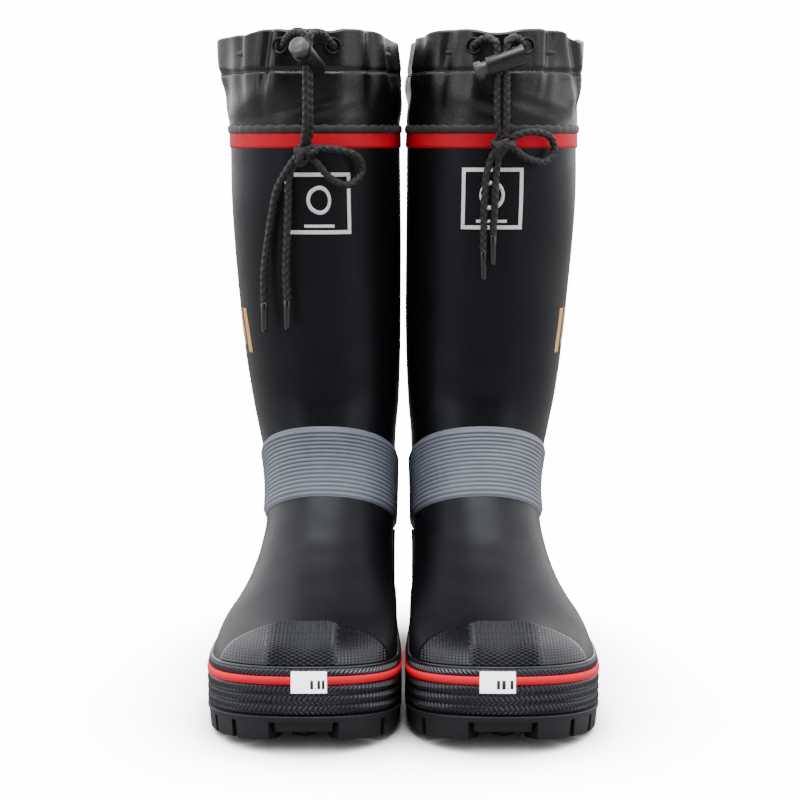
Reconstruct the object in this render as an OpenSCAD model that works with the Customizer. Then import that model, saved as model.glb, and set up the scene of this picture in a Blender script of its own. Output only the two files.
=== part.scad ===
// Pair of knee-high rubber fire boots, standing side by side with the toes toward -Y.
// The wearer's left boot is at +X. The right boot is its mirror image across X = 0,
// apart from the drawcord and its lock, which hang differently on each boot.

/* [Shell] */
// Thickness of the rubber shell
rubber_t = 3; // [2:0.5:4]
// Thickness of the textile lining
lining_t = 1.9; // [1:0.1:2.5]
// Height of the rubber leg's top edge
leg_top = 345; // [320:1:355]
// Height of the cuff's mouth
cuff_top = 405; // [395:1:415]

/* [Sole] */
// Height of the lugs
lug_h = 10.5; // [5:0.5:11]
// Height of the outsole's upper face at the heel
sole_h = 14; // [12:0.5:16]
// Radius of the upward curve under the toes
spring_r = 450; // [350:10:700]
// Thickness of the steel midsole plate
plate_t = 1.2; // [0.8:0.1:1.4]

/* [Bands] */
// Top of the herringbone foxing band
foxing_low_h = 32; // [28:0.5:33]
// Top of the red foot stripe
stripe_h = 36.5; // [35:0.5:38]
// Top of the rope-patterned foxing band
foxing_high_h = 42; // [40:0.5:49]
// How far the foxing stands out from the upper
foxing_t = 2.6; // [1.5:0.1:3]
// Height of the ribbed ankle band
ankle_band_h = 40; // [30:1:44]
// Height of the red band at the top of the leg
top_band_h = 9; // [6:0.5:12]

/* [Cord and lock] */
// Diameter of the drawcord
cord_d = 5; // [4:0.5:5]
// Diameter of the cord lock's barrel
barrel_d = 12.4; // [12:0.2:14]
// How far the lock's plunger can be pressed
press = 3; // [2:0.25:3]
// Outer diameter of the cuff's eyelets
eyelet_d = 10.8; // [10:0.2:12]

/* [Hidden] */
gap = 0.15;
steps = 32;
cord_sides = 8;
skin = 0.8;

// Upper at each height: height, inner side, outer side, front, back, front roundness,
// rear roundness, lean of the outer side
LEVELS = [
  [14, 5, 93, -146.4, 146.6, 59, 42, 0],
  [24, 5, 93, -147, 147, 60, 42, 0],
  [36, 5, 93, -146, 147, 61, 42, 0],
  [44, 5, 93, -142, 146, 62, 42, 1.2],
  [52, 5, 93, -132, 145, 68, 42, 4],
  [58, 5, 93, -117, 144, 76, 43, 6.5],
  [64, 5, 93, -100, 143, 86, 43, 9],
  [72, 5, 93, -82, 142, 96, 44, 10],
  [80, 5, 93, -67, 140.5, 98, 45, 9.5],
  [90, 5.2, 93, -49, 139, 94, 47, 8],
  [105, 5.6, 92.8, -28, 136, 86, 50, 6.2],
  [120, 5.6, 92.6, -11, 133, 76, 53, 5],
  [137, 5.3, 92.6, 2, 131, 68, 56, 2.2],
  [150, 4.8, 94, 9, 130, 63, 58, 0.6],
  [170, 3, 97.5, 14, 130, 60, 58, 0],
  [203, 1.8, 102.4, 15, 132, 59, 58, 0],
  [250, 1.6, 107, 10, 135, 63, 62, 0],
  [300, 1.8, 110, 5, 137, 66, 66, 0],
  [345, 2.4, 110.5, 3, 138, 68, 67, 0],
  [380, 4, 112, 4, 138, 67, 67, 0],
  [405, 6.5, 111, 5, 137, 66, 66, 0]
];
// Plan of the foot: place along the foot, centre line, half width
PLAN = [
  [-150, 55, 50],
  [-100, 57, 53.2],
  [-60, 57.8, 54.2],
  [-20, 56, 51],
  [20, 52.5, 46],
  [60, 49.5, 42.5],
  [100, 48, 40.5],
  [150, 47.5, 39]
];
spring_y = -60;
spring_z0 = 47;
spring_z1 = 84;
foot_z = 62;
leg_z = 135;

function clamp01(x) = min(1, max(0, x));
function smooth(x) = let (c = clamp01(x)) c * c * (3 - 2 * c);
function mix(a, b, k) = a + (b - a) * k;
function row_of(tab, x, i = 0) = i >= len(tab) - 2 || x < tab[i + 1][0] ? i : row_of(tab, x, i + 1);
function secant(tab, i, c) = (tab[i + 1][c] - tab[i][c]) / (tab[i + 1][0] - tab[i][0]);
function tangent(tab, i, c) =
  i == 0 ? secant(tab, 0, c)
  : i == len(tab) - 1 ? secant(tab, i - 1, c)
  : (secant(tab, i - 1, c) + secant(tab, i, c)) / 2;
function curve(tab, x, c) =
  let (
    i = row_of(tab, x),
    h = tab[i + 1][0] - tab[i][0],
    u = clamp01((x - tab[i][0]) / h),
    u2 = u * u,
    u3 = u2 * u
  )
  (2 * u3 - 3 * u2 + 1) * tab[i][c] + (u3 - 2 * u2 + u) * h * tangent(tab, i, c)
  + (3 * u2 - 2 * u3) * tab[i + 1][c] + (u3 - u2) * h * tangent(tab, i + 1, c);

// Round end of a horizontal section, from 0 at its tip to 1 where it is full width
function round_end(q) = let (c = 1 - clamp01(q)) pow(max(0, 1 - pow(c, 2.2)), 1 / 2.2);
function toe_lift(y) = y < spring_y ? spring_r - sqrt(spring_r * spring_r - pow(y - spring_y, 2)) : 0;
function lifted(y, z) = z + toe_lift(y) * (1 - smooth((z - spring_z0) / (spring_z1 - spring_z0)));

// Point of the upper's outer surface. a runs from 0 at the front, past the outer side, to the back at 180.
function skin_point(a, z) =
  let (
    front = curve(LEVELS, z, 3),
    back = curve(LEVELS, z, 4),
    y = mix(front, back, (1 - cos(a)) / 2),
    leg = smooth((z - foot_z) / (leg_z - foot_z)),
    side_in = curve(LEVELS, z, 1),
    side_out = curve(LEVELS, z, 2),
    centre = mix(curve(PLAN, y, 1), (side_in + side_out) / 2, leg),
    half = mix(curve(PLAN, y, 2), (side_out - side_in) / 2, leg),
    w = half * round_end((y - front) / curve(LEVELS, z, 5)) * round_end((back - y) / curve(LEVELS, z, 6))
  )
  [centre + (sin(a) >= 0 ? w * (1 - curve(LEVELS, z, 7) / half) : -w), y, lifted(y, z)];

function unit(v) = v / norm(v);
// The same point moved inward by depth, or outward where depth is negative
function inset(a, z, depth) =
  let (
    along = skin_point(a + 2, z) - skin_point(a - 2, z),
    up = skin_point(a, z + 1.5) - skin_point(a, z - 1.5),
    n = unit(cross(along, up))
  )
  skin_point(a, z) - n * depth;

// Height of the line under the ankle band where the leg meets the foot
function ankle_mid(a) = 88 + 53 * (1 + cos(a)) / 2;

// Closed ring round the boot: section is a loop of [depth, height] points for each angle
module ring_of(sections) {
  n = len(sections);
  m = len(sections[0]);
  points = [for (i = [0:n - 1]) for (s = sections[i]) inset(360 * i / n, s[1], s[0])];
  faces = [
    for (i = [0:n - 1]) for (j = [0:m - 1])
      let (k = (i + 1) % n, l = (j + 1) % m)
      for (f = j < m / 2 ? [[i * m + j, i * m + l, k * m + l], [i * m + j, k * m + l, k * m + j]]
                         : [[i * m + j, i * m + l, k * m + j], [i * m + l, k * m + l, k * m + j]]) f
  ];
  polyhedron(points, faces);
}

// Shell section: outer heights going up, then the same heights coming down inside
function wall(lo, hi, shares, outer, inner) = concat(
  [for (v = shares) [outer, mix(lo, hi, v)]],
  [for (i = [len(shares) - 1:-1:0]) [inner, mix(lo, hi, shares[i])]]
);
function turns(n = steps) = [for (i = [0:n - 1]) 360 * i / n];

// Closed patch between two grids of points with the same rows and columns
module patch_of(outer, inner) {
  rows = len(outer);
  cols = len(outer[0]);
  points = concat([for (r = outer) for (p = r) p], [for (r = inner) for (p = r) p]);
  back = rows * cols;
  sheet = [
    for (i = [0:rows - 2]) for (j = [0:cols - 2])
      let (a = i * cols + j)
      for (f = [[a, a + cols, a + cols + 1], [a, a + cols + 1, a + 1]]) f
  ];
  rim = concat(
    [for (j = [0:cols - 1]) j],
    [for (i = [1:rows - 1]) i * cols + cols - 1],
    [for (j = [cols - 2:-1:0]) (rows - 1) * cols + j],
    [for (i = [rows - 2:-1:1]) i * cols]
  );
  edge = [
    for (i = [0:len(rim) - 1])
      let (p = rim[i], q = rim[(i + 1) % len(rim)])
      for (f = [[p, q, q + back], [p, q + back, p + back]]) f
  ];
  faces = concat(sheet, [for (f = sheet) [f[0] + back, f[2] + back, f[1] + back]], edge);
  polyhedron(points, faces);
}

// Flat insert that follows the toe's upward curve, lying inset from the upper's surface
module slab(depth, lo, hi) {
  n = steps;
  ring = function (z) [for (a = turns()) let (p = inset(a, sole_h + 10, depth)) [p.x, p.y, z + toe_lift(p.y)]];
  points = concat(ring(lo), ring(hi));
  sides = [
    for (i = [0:n - 1])
      let (k = (i + 1) % n)
      for (f = [[i, k + n, k], [i, i + n, k + n]]) f
  ];
  strips = [
    for (i = [0:n / 2 - 1])
      let (p = i, q = i + 1, r = (n - i - 1) % n, s = (n - i) % n)
      for (f = i == 0 ? [[p, q, r]] : i == n / 2 - 1 ? [[p, q, s]] : [[p, q, r], [p, r, s]]) f
  ];
  faces = concat(sides, strips, [for (f = strips) [f[0] + n, f[2] + n, f[1] + n]]);
  polyhedron(points, faces);
}

// Round tube along a route
module tube(route, d, sides = cord_sides) {
  n = len(route);
  heading = [for (i = [0:n - 1]) unit(route[min(i + 1, n - 1)] - route[max(i - 1, 0)])];
  points = [
    for (i = [0:n - 1])
      let (t = heading[i], s = unit(cross(t, [0.31, 0.93, 0.2])), u = cross(t, s))
      for (k = [0:sides - 1]) route[i] + (s * cos(360 * k / sides) + u * sin(360 * k / sides)) * d / 2
  ];
  faces = concat(
    [[for (k = [0:sides - 1]) k]],
    [
      for (i = [0:n - 2]) for (k = [0:sides - 1])
        let (l = (k + 1) % sides)
        for (f = [[i * sides + k, i * sides + sides + k, i * sides + sides + l],
                  [i * sides + k, i * sides + sides + l, i * sides + l]]) f
    ],
    [[for (k = [sides - 1:-1:0]) (n - 1) * sides + k]]
  );
  polyhedron(points, faces);
}

// Extra point halfway between each two points of a route, on a smooth curve through them
function at(route, i) = route[min(max(i, 0), len(route) - 1)];
function halfway(route) = concat(
  [
    for (i = [0:len(route) - 2])
      for (k = [0, 1])
        k == 0 ? route[i]
        : (9 * (at(route, i) + at(route, i + 1)) - at(route, i - 1) - at(route, i + 2)) / 16
  ],
  [route[len(route) - 1]]
);

module both(side) {
  if (side > 0) children();
  if (side < 0) mirror([1, 0, 0]) children();
}

// ---- sole ----
function outline(depth) = [for (a = turns()) let (p = inset(a, sole_h + 10, depth)) [p.x, p.y]];
// Everything above a height that follows the toe curve
module above(lo, hi) {
  ys = [for (i = [0:10]) mix(-155, spring_y, i / 10)];
  low = concat([for (y = ys) [y, lo + toe_lift(y)]], [[160, lo]]);
  high = concat([[160, hi]], [for (i = [10:-1:0]) [ys[i], hi + toe_lift(ys[i])]]);
  rotate([90, 0, 90]) linear_extrude(130) polygon(concat(low, high));
}
lug_rows = [-113, -90, -67, -44, -21, 2];
heel_rows = [90, 113];
module lug_bar(x, y, turn, len) {
  translate([x, y, -1]) rotate([0, 0, turn]) translate([-len / 2, -7, 0]) cube([len, 14, sole_h + 12]);
}
module lugs() {
  for (y = lug_rows) {
    lug_bar(14, y, -14, 40);
    lug_bar(99, y, 14, 40);
    translate([56, y + 3, -1]) cylinder(d = 17, h = sole_h + 12, $fn = 40);
  }
  for (y = heel_rows) {
    lug_bar(14, y, 12, 36);
    lug_bar(79, y, -12, 36);
    translate([46, y, -1]) cylinder(d = 15, h = sole_h + 12, $fn = 40);
  }
  // Toe bumper and the two slotted blocks beside it
  translate([36, -155, -1]) cube([39, 26, sole_h + 12]);
  translate([6, -155, -1]) cube([12, 31, sole_h + 12]);
  translate([21, -155, -1]) cube([12, 28, sole_h + 12]);
  translate([78, -155, -1]) cube([12, 28, sole_h + 12]);
  translate([93, -155, -1]) cube([12, 31, sole_h + 12]);
  // Heel breast and rear block
  translate([4, 66, -1]) cube([86, 13, sole_h + 12]);
  translate([14, 126, -1]) cube([66, 26, sole_h + 12]);
}
module outsole(side) {
  color([0.1, 0.1, 0.11])
    both(side) {
      intersection() {
        linear_extrude(sole_h + 20) polygon(outline(-foxing_t));
        above(lug_h, sole_h);
      }
      intersection() {
        linear_extrude(sole_h + 20) polygon(outline(-foxing_t + 0.6));
        above(0, lug_h + 1);
        lugs();
      }
    }
}
module steel_midsole(side) {
  color([0.6, 0.62, 0.65])
    both(side) slab(9, sole_h + gap, sole_h + gap + plate_t);
}
module insole_board(side) {
  color([0.62, 0.5, 0.35])
    both(side) slab(rubber_t + 1.2, sole_h + plate_t + 2 * gap, sole_h + plate_t + 2.6);
}
module footbed(side) {
  color([0.35, 0.37, 0.4])
    both(side) slab(rubber_t + lining_t + 1.4, sole_h + plate_t + 2.9, sole_h + plate_t + 10);
}

// ---- foot ----
band_shares = [0, 0.5, 1];
module foxing(side, lo, hi, out) {
  both(side) ring_of([for (a = turns()) wall(lo + gap / 2, hi - gap / 2, band_shares, -out, -gap)]);
}
module lower_foxing(side) { color([0.11, 0.11, 0.12]) foxing(side, sole_h + 2 * gap, foxing_low_h, foxing_t); }
module foot_stripe(side) { color([0.85, 0.13, 0.12]) foxing(side, foxing_low_h, stripe_h, foxing_t + 0.3); }
module upper_foxing(side) { color([0.12, 0.12, 0.13]) foxing(side, stripe_h, foxing_high_h, foxing_t - 0.6); }

// Heights of the rows of points on the foot and on the leg. The layers that touch share them.
foot_shares = [0, 0.08, 0.15, 0.25, 0.33, 0.4, 0.48, 0.58, 0.68, 0.79, 0.9];
leg_shares = [0.08, 0.25, 0.5, 0.75, 0.98];
band_half = ankle_band_h / 2;
function foot_rows(a) = let (mid = ankle_mid(a)) concat(
  [for (v = foot_shares) mix(sole_h + gap, mid - band_half, v)],
  [mid - band_half, mid - band_half / 2, mid - gap]
);
function leg_rows(a) = let (mid = ankle_mid(a)) concat(
  [mid + gap, mid + band_half / 2, mid + band_half],
  [for (v = leg_shares) mix(mid + band_half, leg_top, v)]
);
// Shell section between two depths, with a point at each row's height
function shell(rows, outer, inner) = concat(
  [for (z = rows) [outer, z]],
  [for (i = [len(rows) - 1:-1:0]) [inner, rows[i]]]
);
module vamp(side) {
  color([0.12, 0.13, 0.14])
    both(side) ring_of([for (a = turns()) shell(foot_rows(a), 0, rubber_t)]);
}
// Angle at which a level reaches a place along the foot
function angle_at(y, z) =
  let (front = curve(LEVELS, z, 3), back = curve(LEVELS, z, 4))
  acos(1 - 2 * clamp01((y - front) / (back - front)));

guard_side_y = -109;
guard_front_y = -100;
guard_top = 64;
guard_cols = 22;
guard_gap = 0.6;
function guard_rows() = [for (v = [0:0.125:1]) [
  mix(foxing_high_h + 2 * gap, guard_top, v),
  mix(guard_side_y, guard_front_y, v) + 0.6
]];
function toe_grid(rows, depth) = [
  for (r = rows) [for (j = [0:guard_cols]) inset(angle_at(r[1], r[0]) * (1 - 2 * j / guard_cols), r[0], depth)]
];
module toe_guard(side) {
  color([0.16, 0.16, 0.17])
    both(side) patch_of(toe_grid(guard_rows(), -1.8), toe_grid(guard_rows(), -guard_gap));
}
// Steel cap inside the toe: outer side of the cap follows the lining
cap_rows = [[sole_h + 13, -88], [38, -88], [48, -89], [54, -90], [58, -92]];
cap_t = 1.8;
module toe_cap(side) {
  depth = rubber_t + lining_t + 1.2;
  color([0.65, 0.67, 0.7])
    both(side) patch_of(toe_grid(cap_rows, depth), toe_grid(cap_rows, depth + cap_t));
}

heel_half = 54;
heel_rows_n = 4;
function heel_lo() = foxing_high_h + gap;
function heel_hi(a) = ankle_mid(a) - ankle_band_h / 2 - 2 * gap;
function heel_grid(depth) = [
  for (i = [0:heel_rows_n]) [
    for (j = [0:12])
      let (a = 180 + heel_half * (2 * j / 12 - 1))
      inset(a, mix(heel_lo(), heel_hi(a), i / heel_rows_n), depth)
  ]
];
module heel_counter(side) {
  color([0.13, 0.13, 0.14])
    both(side) patch_of(heel_grid(-guard_gap), heel_grid(-1.4));
}
module heel_piping(side) {
  color([0.48, 0.16, 0.12])
    both(side)
      for (s = [-1, 1]) {
        a = 180 + s * (heel_half + 2.6);
        tube([for (i = [0:4]) inset(a, mix(heel_lo() + 1, heel_hi(a) - 1, i / 4), -1.4)], 2.2, 6);
      }
}

// ---- ankle and leg ----
module ankle_band(side) {
  color([0.5, 0.54, 0.6])
    both(side)
      ring_of([
        for (a = turns())
          shell([for (v = [-1, -0.5, 0, 0.5, 1]) ankle_mid(a) + v * band_half], -2.4, -2 * gap)
      ]);
}
module leg(side) {
  color([0.12, 0.13, 0.14])
    both(side) ring_of([for (a = turns()) shell(concat(leg_rows(a), [leg_top]), 0, rubber_t)]);
}
function lining_rows(a) = concat([for (i = [1:len(foot_shares) + 2]) foot_rows(a)[i]], leg_rows(a));
module lining(side) {
  color([0.75, 0.73, 0.68])
    both(side) ring_of([for (a = turns()) shell(lining_rows(a), rubber_t + gap, rubber_t + lining_t)]);
}
module top_band(side) {
  color([0.8, 0.2, 0.22])
    both(side)
      ring_of([for (a = turns()) wall(leg_top - 3 - top_band_h, leg_top - 3, [0, 1], -skin, -gap / 3)]);
}

// ---- cuff ----
channel_h = 25;
binding_h = 5;
module cuff_binding(side) {
  lo = leg_top - 3 + gap;
  color([0.2, 0.2, 0.21])
    both(side)
      ring_of([for (a = turns()) [[-1.6, lo], [-1.6, lo + binding_h], [-gap / 2, lo + binding_h], [-gap / 2, lo]]]);
}
cuff_t = 1.6;
channel_w = 9;
// Where each eyelet sits: angle round the cuff, height
EYELETS = [[345.5, 394.5], [14.5, 394.5]];
module eyelet_place(e, depth) {
  p = inset(e[0], e[1], depth);
  q = inset(e[0], e[1], depth + 1);
  d = p - q;
  translate(p) rotate([0, 90, atan2(d.y, d.x)]) children();
}
module cuff(side) {
  lo = leg_top + gap;
  stitch = cuff_top - channel_h;
  color([0.15, 0.15, 0.16])
    both(side)
      difference() {
        ring_of([
          for (a = turns()) [
            [0, lo], [0, mix(lo, stitch, 0.5)], [0, stitch], [0, mix(stitch, cuff_top, 0.5)], [0.4, cuff_top - 1.5],
            [2, cuff_top],
            [channel_w - 2, cuff_top],
            [channel_w, cuff_top - 2], [channel_w, stitch],
            [channel_w - cuff_t, stitch], [channel_w - cuff_t, cuff_top - cuff_t - 1.5],
            [cuff_t, cuff_top - cuff_t - 1.5],
            [cuff_t, stitch], [cuff_t, mix(lo, stitch, 0.5)], [cuff_t, lo]
          ]
        ]);
        for (e = EYELETS) eyelet_place(e, 4) cylinder(d = 8.4, h = 8);
      }
}
module eyelets(side) {
  color([0.2, 0.2, 0.22])
    both(side)
      for (e = EYELETS)
        eyelet_place(e, -0.9) {
          difference() {
            union() {
              cylinder(d = eyelet_d, h = 1.2);
              translate([0, 0, -2.7]) cylinder(d = 7.9, h = 3);
            }
            translate([0, 0, -4]) cylinder(d = 6.6, h = 6);
          }
        }
}
module channel_cord(side) {
  z = cuff_top - 14;
  route = [for (i = [0:22]) inset(mix(22, 338, i / 22), z, 4.5)];
  color([0.08, 0.08, 0.09])
    both(side) tube(route, cord_d - 0.4);
}

// ---- drawcord: the points of each free strand, from its eyelet to its tip ----
LEFT_INNER = [
  [42, 7, 394], [45.5, 2, 396.5], [49.5, -3, 398.5], [53.8, -7.5, 397], [56.3, -9, 392], [56.3, -9, 371],
  [56.3, -9, 351],
  [57.5, -7.5, 343], [60, -5, 337], [68, -4, 341], [79, 0, 343], [89, 7, 340], [92, 10, 332], [86, 6, 325],
  [75, -1, 327], [64, -5, 334], [58, -5, 329], [56, -4, 317], [55.5, -3, 303], [55, -1, 290], [54.5, 0, 280]
];
LEFT_OUTER = [
  [73, 7, 394], [70.5, 2, 397], [67.5, -3, 399], [64.2, -7.5, 398], [61.7, -9, 393.5], [61.7, -9, 371],
  [61.7, -9, 351],
  [61, -7.5, 343], [58, -6, 336], [53, -5, 327], [50, -4, 315], [49, -3, 300], [48.8, -1, 285], [48.8, 0, 271]
];
RIGHT_INNER = [
  [-42, 7, 394], [-45.5, 1, 398], [-49.5, -6, 401.5], [-54, -13, 401], [-55.8, -16.5, 395.5], [-55.8, -16.5, 374],
  [-55.8, -16.5, 353], [-56, -13, 343], [-57.5, -8, 333], [-50, -5, 333], [-39, -3, 332], [-28, 2, 328], [-25, 5, 319],
  [-33, 0, 311], [-44, -3, 315], [-54, -5, 326], [-62, -4, 328], [-69, -1, 316], [-70, 1, 300], [-71, 2, 280],
  [-72, 4, 260], [-71.5, 6, 240]
];
RIGHT_OUTER = [
  [-73, 7, 394], [-70.5, 0, 398], [-66, -10, 401.5], [-60.5, -18.5, 401.5], [-57.7, -21.5, 396], [-57.7, -21.5, 374],
  [-57.7, -21.5, 353], [-58.5, -17, 343], [-61, -9, 333], [-69, -4, 322], [-77, 3, 308], [-81, 7, 290], [-84, 10, 272],
  [-86, 12, 255], [-86, 13, 238]
];
module free_cord(route) { color([0.07, 0.07, 0.08]) tube(route, cord_d); }
function inner_route(side) = side > 0 ? LEFT_INNER : RIGHT_INNER;
function outer_route(side) = side > 0 ? LEFT_OUTER : RIGHT_OUTER;
function last(route) = route[len(route) - 1];
aglet_l = 18;
module aglets(side) {
  color([0.15, 0.15, 0.17])
    for (r = [inner_route(side), outer_route(side)]) {
      p = last(r);
      translate([p.x, p.y, p.z - aglet_l - 0.4]) {
        translate([0, 0, 2]) cylinder(d = 4, h = aglet_l - 2, $fn = 32);
        cylinder(d1 = 2.4, d2 = 4, h = 2, $fn = 32);
      }
    }
}
KNOTS = [[60, -5.5, 336], [-58.5, -8, 332]];
module knot(side) {
  p = side > 0 ? KNOTS[0] : KNOTS[1];
  color([0.07, 0.07, 0.08])
    translate(p) rotate([0, 25, 0]) {
      sphere(d = 11, $fn = 40);
      translate([-4.5, 0, 1.5]) sphere(d = 8.5, $fn = 32);
    }
}

// ---- cord lock: the cords pass straight down through it ----
// Place, direction of the plunger's head and its slope, for the left and the right boot
LOCKS = [[[59, -9, 384], 180, -20], [[-56.75, -19, 386], 250, 24]];
barrel_back = 14.5;
barrel_front = 9;
bore_d = 9.6;
bore_back = 12.5;
plunger_d = 8.9;
plunger_back = 7.3;
slot_w = cord_d + 0.8;
cord_off = 2.7;
head_from = barrel_front + press + 0.6;
head_l = 4.6;
function lock_of(side) = side > 0 ? LOCKS[0] : LOCKS[1];
// The lock's own frame has the cords along Z and the head toward +X before it slopes
module lock_place(side) {
  l = lock_of(side);
  translate(l[0]) rotate([0, 0, l[1]]) children();
}
module along_barrel(side) { rotate([0, 90 - lock_of(side)[2], 0]) children(); }
module cord_slot(head_extra) {
  translate([0, 0, -20]) {
    translate([-cord_off, 0, 0]) cylinder(d = slot_w, h = 40, $fn = 40);
    translate([cord_off + head_extra, 0, 0]) cylinder(d = slot_w, h = 40, $fn = 40);
    translate([-cord_off, -slot_w / 2, 0]) cube([2 * cord_off + head_extra, slot_w, 40]);
  }
}
module lock_barrel(side) {
  color([0.13, 0.13, 0.14])
    lock_place(side)
      difference() {
        along_barrel(side) {
          difference() {
            translate([0, 0, -barrel_back]) cylinder(d = barrel_d, h = barrel_back + barrel_front, $fn = 64);
            translate([0, 0, -bore_back]) cylinder(d = bore_d, h = 40, $fn = 64);
          }
        }
        cord_slot(0);
      }
}
module lock_plunger(side) {
  color([0.45, 0.46, 0.48])
    lock_place(side)
      difference() {
        along_barrel(side) {
          translate([0, 0, -plunger_back]) cylinder(d = plunger_d, h = plunger_back + head_from + 1, $fn = 64);
          translate([0, 0, head_from]) cylinder(d = barrel_d - 1, h = head_l - 1, $fn = 64);
          translate([0, 0, head_from + head_l - 1]) cylinder(d1 = barrel_d - 1, d2 = barrel_d - 3, h = 1, $fn = 64);
        }
        cord_slot(press);
      }
}
spring_turns = 3;
spring_wire = 0.7;
module lock_spring(side) {
  lo = -bore_back + spring_wire / 2 + 0.1;
  hi = -plunger_back - spring_wire / 2 - 0.1;
  n = spring_turns * 12;
  route = [for (i = [0:n]) [3.4 * cos(30 * i), 3.4 * sin(30 * i), mix(lo, hi, i / n)]];
  color([0.7, 0.72, 0.75])
    lock_place(side) along_barrel(side) tube(route, spring_wire, 6);
}

// ---- small flat marks ----
function small_grid(a0, a1, z0, z1, na, nz, depth) = [
  for (i = [0:nz]) [for (j = [0:na]) inset(mix(a0, a1, j / na), mix(z0, z1, i / nz), depth)]
];
module mark(a0, a1, z0, z1, base, out, na = 2, nz = 1) {
  patch_of(small_grid(a0, a1, z0, z1, na, nz, base), small_grid(a0, a1, z0, z1, na, nz, base - out));
}
module size_sticker(side) {
  base = -foxing_t - 0.3 - gap;
  color([0.95, 0.95, 0.93])
    both(side) mark(-7.6, 3.6, foxing_low_h - 4, foxing_low_h + 7, base, 0.3, 4, 2);
}
emblem_a = 18.6;
emblem_z = 301;
emblem_h = 37.5;
module emblem(side) {
  lo = emblem_z - emblem_h / 2;
  hi = emblem_z + emblem_h / 2;
  color([0.92, 0.92, 0.92])
    both(side) {
      mark(-emblem_a - 2, emblem_a - 2, hi - 1.8, hi, -gap, 0.25, 6);
      mark(-emblem_a - 2, emblem_a - 2, lo, lo + 1.8, -gap, 0.25, 6);
      mark(-emblem_a - 2, -emblem_a - 0.4, lo + 1.9, hi - 1.9, -gap, 0.25, 1, 4);
      mark(emblem_a - 3.6, emblem_a - 2, lo + 1.9, hi - 1.9, -gap, 0.25, 1, 4);
    }
}
module side_mark(side) {
  color([0.85, 0.65, 0.4])
    both(side)
      for (i = [0:2]) mark(58 + 11 * i, 65 + 11 * i, 204 + 4 * i, 232, -gap, 0.25, 1, 2);
}

PIECES = [
  "outsole", "steel_midsole", "insole_board", "footbed", "toe_cap", "lower_foxing", "foot_stripe",
  "upper_foxing", "toe_guard", "vamp", "heel_counter", "heel_piping", "ankle_band", "leg", "lining", "top_band",
  "cuff_binding", "cuff", "eyelets", "channel_cord", "inner_cord", "outer_cord", "knot", "aglets",
  "lock_barrel", "lock_plunger", "lock_spring", "size_sticker", "emblem", "side_mark"
];

for (s = [1, -1]) {
  boot = s > 0 ? "left_" : "right_";
  outsole(s);
  steel_midsole(s);
  insole_board(s);
  footbed(s);
  toe_cap(s);
  lower_foxing(s);
  foot_stripe(s);
  upper_foxing(s);
  toe_guard(s);
  vamp(s);
  heel_counter(s);
  heel_piping(s);
  ankle_band(s);
  leg(s);
  lining(s);
  top_band(s);
  cuff_binding(s);
  cuff(s);
  eyelets(s);
  channel_cord(s);
  free_cord(inner_route(s));
  free_cord(outer_route(s));
  knot(s);
  aglets(s);
  lock_barrel(s);
  lock_plunger(s);
  lock_spring(s);
  size_sticker(s);
  emblem(s);
  side_mark(s);
}
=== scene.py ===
"""Fire boots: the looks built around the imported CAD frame, in metres.

The outer surface of a boot is one function of an angle round the boot and a height, the same one the CAD uses.
Every visible skin, band and patch is cut from it. Each boot is built at +X and mirrored for the right boot.
"""

import math

import bpy
import numpy as np
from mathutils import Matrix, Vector


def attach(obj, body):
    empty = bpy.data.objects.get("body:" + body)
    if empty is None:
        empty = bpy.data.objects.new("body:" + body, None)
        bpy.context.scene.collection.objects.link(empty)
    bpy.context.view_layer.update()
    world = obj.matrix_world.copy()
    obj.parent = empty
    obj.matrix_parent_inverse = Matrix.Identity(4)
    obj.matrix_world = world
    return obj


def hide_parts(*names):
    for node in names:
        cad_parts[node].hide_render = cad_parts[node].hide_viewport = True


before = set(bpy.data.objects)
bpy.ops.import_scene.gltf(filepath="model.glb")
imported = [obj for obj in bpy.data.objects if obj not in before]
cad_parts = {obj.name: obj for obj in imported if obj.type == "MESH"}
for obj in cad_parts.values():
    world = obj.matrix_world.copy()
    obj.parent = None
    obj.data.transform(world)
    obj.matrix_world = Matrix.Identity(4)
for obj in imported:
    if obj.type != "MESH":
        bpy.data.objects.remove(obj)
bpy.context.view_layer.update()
MM = 0.001
SIDES = {"left": 1, "right": -1}

# ---------------------------------------------------------------- camera
CAMERA_AT = (0.0, -1.19, 0.338)
CAMERA_DOWN = 7.6
CAMERA_TURN = 0.1
CAMERA_LENS = 87.7


def make_camera():
    data = bpy.data.cameras.new("camera")
    data.lens = CAMERA_LENS
    data.sensor_width = 36
    data.clip_start = 0.05
    camera = bpy.data.objects.new("camera", data)
    camera.location = CAMERA_AT
    camera.rotation_euler = (math.radians(90 - CAMERA_DOWN), 0, math.radians(CAMERA_TURN))
    bpy.context.scene.collection.objects.link(camera)
    bpy.context.scene.camera = camera


make_camera()

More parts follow.
